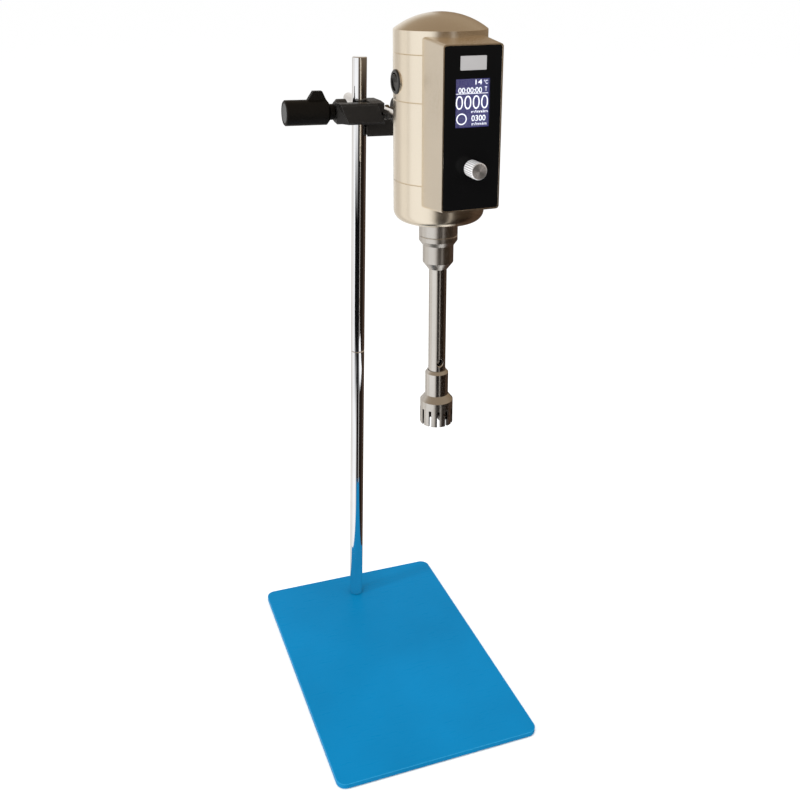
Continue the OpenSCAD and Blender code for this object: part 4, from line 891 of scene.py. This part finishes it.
@dataclass
class Display:
    """Drawings on the display, placed in mm from its upper left corner."""

    centre: Vector
    lean: float
    width: float
    height: float
    lift: float = 0.06 * MM
    bold: float = 0.011
    thin: float = -0.012

    @classmethod
    def measured(cls) -> "Display":
        """Returns the display, with its plane, lean and size worked out from the window's box."""
        spin = next(joint for joint in frame["joints"] if joint["name"] == "drive_spin")
        lean = math.atan2(spin["axis"][0], spin["axis"][2])
        low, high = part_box("display_window")
        centre = Vector(((low.x + high.x) / 2, high.y + cls.lift, (low.z + high.z) / 2))
        across, tall = high.x - low.x, high.z - low.z
        cosine, sine = math.cos(lean), abs(math.sin(lean))
        width = (across * cosine - tall * sine) / math.cos(2 * lean)
        height = (tall * cosine - across * sine) / math.cos(2 * lean)
        return cls(centre, lean, width, height)

    def glass(self) -> BacklitGlass:
        """Returns the finish of the glass behind the drawings."""
        return BacklitGlass(
            "display_backlit", (0.02, 0.02, 0.06), 0.3, glow=(0.024, 0.020, 0.100),
            glow_right=(0.024, 0.025, 0.130), centre=tuple(self.centre), half_width=self.width / 2,
        )

    def draw(self) -> None:
        """Draws the display's digits, units, line and ring."""
        self.words("display_temperature", "14", left=18.4, right=24.6, down=0.8, height=4.2)
        self.words("display_temperature_unit", "°C", left=26.3, right=30.0, down=1.3, height=3.4)
        self.words("display_timer", "00:00:00", left=2.7, right=24.6, down=7.2, height=4.7)
        self.words("display_timer_unit", "T", left=27.3, right=29.4, down=7.0, height=3.7)
        self.words("display_speed", "0000", left=0.6, right=30.6, down=14.0, height=11.4, weight=self.thin)
        self.words("display_speed_unit", "r/min", left=15.2, right=30.4, down=26.3, height=2.5)
        self.words("display_preset", "0300", left=15.4, right=28.6, down=30.8, height=4.9)
        self.words("display_preset_unit", "r/min", left=15.7, right=29.6, down=36.8, height=2.5)
        self.line("display_rule", left=0.6, right=30.3, down=12.1, thickness=0.5)
        self.ring("display_ring", across=6.1, down=33.6, radius=4.9, width=1.0)

    def at(self, across: float, down: float) -> Vector:
        """Returns the point that lies so many mm right of and below the display's corner."""
        return Vector((across * MM - self.width / 2, self.height / 2 - down * MM, 0.0))

    def words(
        self, name: str, text: str, left: float, right: float, down: float, height: float,
        weight: float = bold,
    ) -> None:
        """Draws a line of digits that fills a box on the display.

        Args:
            name: name of the piece.
            text: what it reads.
            left: left edge, mm from the display's left.
            right: right edge.
            down: top of the digits, mm below the display's top.
            height: height of the digits in mm.
            weight: how far the strokes are widened, as a share of the letter size.
        """
        curve = bpy.data.curves.new(name, "FONT")
        curve.body = text
        curve.offset = weight
        writer = bpy.data.objects.new(name + "_text", curve)
        bpy.context.scene.collection.objects.link(writer)
        bpy.context.view_layer.update()
        view = bpy.context.evaluated_depsgraph_get()
        outline = bpy.data.meshes.new_from_object(writer.evaluated_get(view))
        bpy.data.objects.remove(writer)
        shape = bmesh.new()
        shape.from_mesh(outline)
        bpy.data.meshes.remove(outline)
        bmesh.ops.remove_doubles(shape, verts=shape.verts, dist=1e-6)
        low = Vector((min(v.co.x for v in shape.verts), min(v.co.y for v in shape.verts), 0))
        high = Vector((max(v.co.x for v in shape.verts), max(v.co.y for v in shape.verts), 0))
        scale = Vector(((right - left) * MM / (high.x - low.x), height * MM / (high.y - low.y), 1))
        bmesh.ops.translate(shape, vec=-low, verts=shape.verts)
        bmesh.ops.scale(shape, vec=scale, verts=shape.verts)
        self.stand_up(shape, self.at(left, down + height))
        add_piece(name, shape, Finishes.segment, "head")

    def stand_up(self, shape: bmesh.types.BMesh, corner: Vector) -> None:
        """Puts a flat drawing on the display, which leans with the head and faces -Y.

        Args:
            shape: the drawing, in the XY plane.
            corner: where its origin goes on the display.
        """
        upright = Matrix.Rotation(self.lean, 4, "Y") @ Matrix.Rotation(math.pi / 2, 4, "X")
        place = Matrix.Translation(self.centre) @ upright @ Matrix.Translation(corner)
        bmesh.ops.transform(shape, matrix=place, verts=shape.verts)

    def line(self, name: str, left: float, right: float, down: float, thickness: float) -> None:
        """Draws a rule across the display.

        Args:
            name: name of the piece.
            left: left end, mm from the display's left.
            right: right end.
            down: its top, mm below the display's top.
            thickness: its thickness in mm.
        """
        shape = bmesh.new()
        bmesh.ops.create_grid(shape, x_segments=8, y_segments=1, size=0.5)
        bmesh.ops.translate(shape, vec=(0.5, 0.5, 0), verts=shape.verts)
        bmesh.ops.scale(shape, vec=((right - left) * MM, thickness * MM, 1), verts=shape.verts)
        self.stand_up(shape, self.at(left, down + thickness))
        add_piece(name, shape, Finishes.segment, "head")

    def ring(self, name: str, across: float, down: float, radius: float, width: float) -> None:
        """Draws a ring on the display.

        Args:
            name: name of the piece.
            across: its centre, mm from the left.
            down: its centre, mm below the top.
            radius: outer radius in mm.
            width: width of the ring in mm.
        """
        shape = bmesh.new()
        bmesh.ops.create_circle(shape, segments=64, radius=radius * MM)
        outer = list(shape.verts)
        inner = [shape.verts.new(v.co * ((radius - width) / radius)) for v in outer]
        for i in range(len(outer)):
            shape.faces.new((outer[i - 1], outer[i], inner[i], inner[i - 1]))
        self.stand_up(shape, self.at(across, down))
        add_piece(name, shape, Finishes.segment, "head")


@dataclass
class Stem(Assembly):
    """Union nut, sleeve, tube, stator and rotor."""

    finishes = {
        "union_nut": Finishes.satin_steel,
        "stem_sleeve": Finishes.satin_steel,
        "stem_tube": Finishes.stainless,
        "drive_shaft": Finishes.stainless,
        "stator_head": Finishes.mixing_steel,
        "rotor": Finishes.mixing_steel,
        "rotor_screw": Finishes.turned_steel,
        "stem_bushes": Finishes.bush,
    }


@dataclass
class InnerMotor(Assembly):
    """Motor inside the housing."""

    finishes = {
        "field_core": Finishes.sheet_steel,
        "armature_core": Finishes.sheet_steel,
        "field_coils": Finishes.copper,
        "armature_windings": Finishes.copper,
        "bearing_bridge": Finishes.casting,
        "shaft_coupling": Finishes.casting,
        "brush_holders": Finishes.brass,
        "carbon_brushes": Finishes.carbon,
        "upper_bearing": Finishes.bearing,
        "lower_bearing": Finishes.bearing,
        "motor_shaft": Finishes.turned_steel,
        "cooling_fan": Finishes.fan,
    }

    def add_details(self) -> None:
        """Dresses the commutator, whose bars stand round its axis."""
        centre = tuple(middle("commutator"))
        dress("commutator", TurnedFace("commutator_copper", (0.72, 0.38, 0.2), 0.25, centre, Axis.Z))


# ----------------------------------------
# Studio
# ----------------------------------------


class Room(Tree):
    """Bright room with a dark side around the object, for the polished metal to mirror."""

    strength: float = 1.05

    def __init__(self, heading: float) -> None:
        """Starts the world.

        Args:
            heading: the camera's heading, from which the room's colours are counted.
        """
        world = bpy.data.worlds.new("studio")
        world.use_nodes = True
        world.cycles.sampling_method = "NONE"
        bpy.context.scene.world = world
        super().__init__(world.node_tree)
        self.heading = heading
        self.view = self.node("ShaderNodeTexCoord").outputs["Generated"]

    def build(self) -> None:
        """Fills the tree: plain white light, and the room's colours for mirrored rays."""
        glossy = self.node("ShaderNodeLightPath").outputs["Is Glossy Ray"]
        glow = self.node("ShaderNodeBackground")
        self.plug(glow.inputs["Color"], self.mix(glossy, WHITE, self.mirrored()))
        self.plug(glow.inputs["Strength"], self.strength)
        self.link(glow.outputs[0], self.node("ShaderNodeOutputWorld").inputs["Surface"])

    def mirrored(self) -> bpy.types.NodeSocket:
        """Returns the colour that a mirrored ray meets."""
        height = self.reach(Vector((0, 0, 1)))
        level = self.math("ADD", self.math("MULTIPLY", height, 0.5), 0.5)
        haze = self.ramp(level, [(0.44, BLACK), (0.485, (0.31, 0.23, 0.155))])
        walls = self.mix(1.0, self.bands(), haze, "LIGHTEN")
        ceiling = self.ramp(level, [(0.6, (0.46, 0.38, 0.29)), (1.0, (0.33, 0.26, 0.19))])
        return self.mix(self.ramp(level, [(0.64, BLACK), (0.80, WHITE)]), walls, ceiling)

    def bands(self) -> bpy.types.NodeSocket:
        """Returns the colour of the walls, by the angle to the left of the camera."""
        white, pale, grey = WHITE, (0.90, 0.88, 0.85), (0.66, 0.63, 0.60)
        dusk, dark, black = (0.07, 0.045, 0.032), (0.016, 0.010, 0.007), (0.010, 0.008, 0.008)
        stops = [
            (-180, dusk), (-97, dusk), (-90, dark), (-34, dark), (-31, grey), (-27, grey), (-24, black),
            (6, black), (12, grey), (24, white), (79, white), (83, grey), (86, grey), (89, pale),
            (110, pale), (118, grey), (142, grey), (154, pale), (180, pale),
        ]
        front = Vector((-math.sin(self.heading), -math.cos(self.heading), 0.0))
        left = Vector((-math.cos(self.heading), math.sin(self.heading), 0.0))
        turn = self.math("ARCTAN2", self.reach(left), self.reach(front))
        share = self.math("ADD", self.math("MULTIPLY", turn, 1 / (2 * math.pi)), 0.5)
        return self.ramp(share, [(0.5 + degrees / 360, colour) for degrees, colour in stops])

    def reach(self, direction: Vector) -> bpy.types.NodeSocket:
        """Returns how far the view direction goes along a given one."""
        made = self.node("ShaderNodeVectorMath", operation="DOT_PRODUCT")
        self.link(self.view, made.inputs[0])
        made.inputs[1].default_value = direction
        return made.outputs["Value"]

    def ramp(
        self, factor: bpy.types.NodeSocket, stops: list[tuple[float, Triple]]
    ) -> bpy.types.NodeSocket:
        """Returns the colour that belongs to a factor.

        Args:
            factor: position along the ramp, from 0 to 1.
            stops: positions and their colours, in order.

        Returns:
            The colour.
        """
        made = self.node("ShaderNodeValToRGB")
        elements = made.color_ramp.elements
        while len(elements) < len(stops):
            elements.new(1.0)
        for element, (position, colour) in zip(elements, stops):
            element.position = position
            element.color = (*colour, 1.0)
        self.link(factor, made.inputs[0])
        return made.outputs[0]


@dataclass(frozen=True)
class Card:
    """Card that only polished metal sees, and only from behind.

    Attributes:
        name: name of the card.
        centre: where its middle goes.
        size: width and height in metres.
        turn: how far it is turned about X from lying face up.
        greys: how bright it is on its left and on its right.
        fade: width of its soft upper and lower edges.
    """

    name: str
    centre: Triple
    size: tuple[float, float]
    turn: float
    greys: tuple[float, float]
    fade: float

    def build(self) -> None:
        """Adds the card to the studio."""
        shape = bmesh.new()
        bmesh.ops.create_grid(shape, x_segments=1, y_segments=1, size=0.5)
        bmesh.ops.scale(shape, vec=(*self.size, 1), verts=shape.verts)
        card = mesh_object(self.name, shape, self.material())
        card.matrix_world = Matrix.Translation(self.centre) @ Matrix.Rotation(self.turn, 4, "X")
        card.visible_camera = False
        card.visible_diffuse = False
        card.visible_shadow = False
        card.visible_transmission = False

    def material(self) -> bpy.types.Material:
        """Returns the card's material: two greys across, clear from the front."""
        width, height = self.size
        graph = Graph(f"studio_{self.name}")
        from_middle = graph.math("ABSOLUTE", graph.along(Axis.Y))
        soft = graph.span(from_middle, 1.0, 0.0, height / 2 - self.fade, height / 2)
        behind = graph.node("ShaderNodeNewGeometry").outputs["Backfacing"]
        across = graph.span(graph.along(Axis.X), 0.0, 1.0, -width / 8, width / 8)
        left, right = ((grey,) * 3 for grey in self.greys)
        graph.set("Base Color", graph.mix(across, left, right))
        graph.set("Specular IOR Level", 0.0)
        graph.set("Alpha", graph.math("MULTIPLY", soft, behind))
        return graph.material


@dataclass
class Studio:
    """Floor, lights, surroundings and camera."""

    place: Vector = field(default_factory=lambda: Vector((-0.3158, -0.8384, 0.7584)))
    target: Vector = field(default_factory=lambda: Vector((0.0, 0.0, 0.35)))
    heading: float = math.radians(20.86)
    down: float = math.radians(18.45)
    roll: float = math.radians(1.23)
    sensor_width: float = 36.0
    lens: float = 41.805
    rise: float = -0.14
    floor_size: float = 240.0
    dark_card: Card = Card(
        "dark_card", centre=(-0.1625, 0.03, 0.385), size=(0.275, 0.43), turn=math.pi / 2,
        greys=(0.006, 0.006), fade=0.13,
    )
    white_card: Card = Card(
        "white_card", centre=(0.024, -0.041, 0.26), size=(0.20, 0.20), turn=math.pi,
        greys=(0.03, 0.85), fade=0.03,
    )

    def build(self) -> None:
        """Builds the studio, with a dark card in front of the rod and a white one under the stator."""
        self.camera()
        self.floor()
        Room(self.heading).build()
        self.dark_card.build()
        self.white_card.build()
        self.light("key_light", (-1.5, -1.3, 2.3), size=1.6, power=26.0)
        self.light("fill_light", (1.5, -0.9, 1.7), size=1.6, power=7.0)
        self.light("low_light", (-2.6, -0.35, 1.1), size=0.3, power=34.0)
        bpy.context.scene.view_settings.view_transform = "Standard"

    def axes(self) -> tuple[Vector, Vector, Vector]:
        """Returns the camera's right, up and forward directions."""
        forward = Vector(
            (
                math.sin(self.heading) * math.cos(self.down),
                math.cos(self.heading) * math.cos(self.down),
                -math.sin(self.down),
            )
        )
        right = Vector((math.cos(self.heading), -math.sin(self.heading), 0.0))
        up = right.cross(forward)
        turned_right = right * math.cos(self.roll) + up * math.sin(self.roll)
        turned_up = up * math.cos(self.roll) - right * math.sin(self.roll)
        return turned_right, turned_up, forward

    def camera(self) -> None:
        """Adds the camera."""
        data = bpy.data.cameras.new("view")
        data.sensor_width = self.sensor_width
        data.lens = self.lens
        data.shift_y = self.rise
        viewer = bpy.data.objects.new("view", data)
        right, up, forward = self.axes()
        turn = Matrix((right, up, -forward)).transposed()
        viewer.matrix_world = Matrix.Translation(self.place) @ turn.to_4x4()
        bpy.context.scene.collection.objects.link(viewer)
        bpy.context.scene.camera = viewer

    def floor(self) -> None:
        """Adds the floor, which the polished metal doesn't mirror."""
        shape = bmesh.new()
        bmesh.ops.create_grid(shape, x_segments=2, y_segments=2, size=self.floor_size / 2)
        graph = Graph("studio_floor")
        pale, paler = (0.945,) * 3, (0.955,) * 3
        graph.set("Base Color", graph.mix(graph.noise(3.0, 2.0), pale, paler))
        graph.set("Roughness", 0.9)
        graph.set("Specular IOR Level", 0.0)
        ground = mesh_object("floor", shape, graph.material)
        ground.visible_glossy = False

    def light(self, name: str, place: Triple, size: float, power: float) -> None:
        """Adds a soft square light that points at the object.

        Args:
            name: name of the light.
            place: where it stands.
            size: edge length in metres.
            power: power in watts.
        """
        data = bpy.data.lights.new(name, "AREA")
        data.size = size
        data.energy = power
        lamp = bpy.data.objects.new(name, data)
        aim = self.target - Vector(place)
        lamp.matrix_world = Matrix.Translation(place) @ aim.to_track_quat("-Z", "Y").to_matrix().to_4x4()
        lamp.visible_glossy = False
        lamp.visible_camera = False
        bpy.context.scene.collection.objects.link(lamp)


def main() -> None:
    """Builds the studio and every sub-assembly, in order."""
    logging.basicConfig(level=logging.INFO, format="%(name)s: %(message)s")
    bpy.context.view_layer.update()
    for part in (Studio(), Stand(), Clamp(), MotorHead(), ControlPanel(), Stem(), InnerMotor()):
        part.build()
        LOG.info("finished %s", type(part).__name__)


if __name__ == "__main__":
    main()
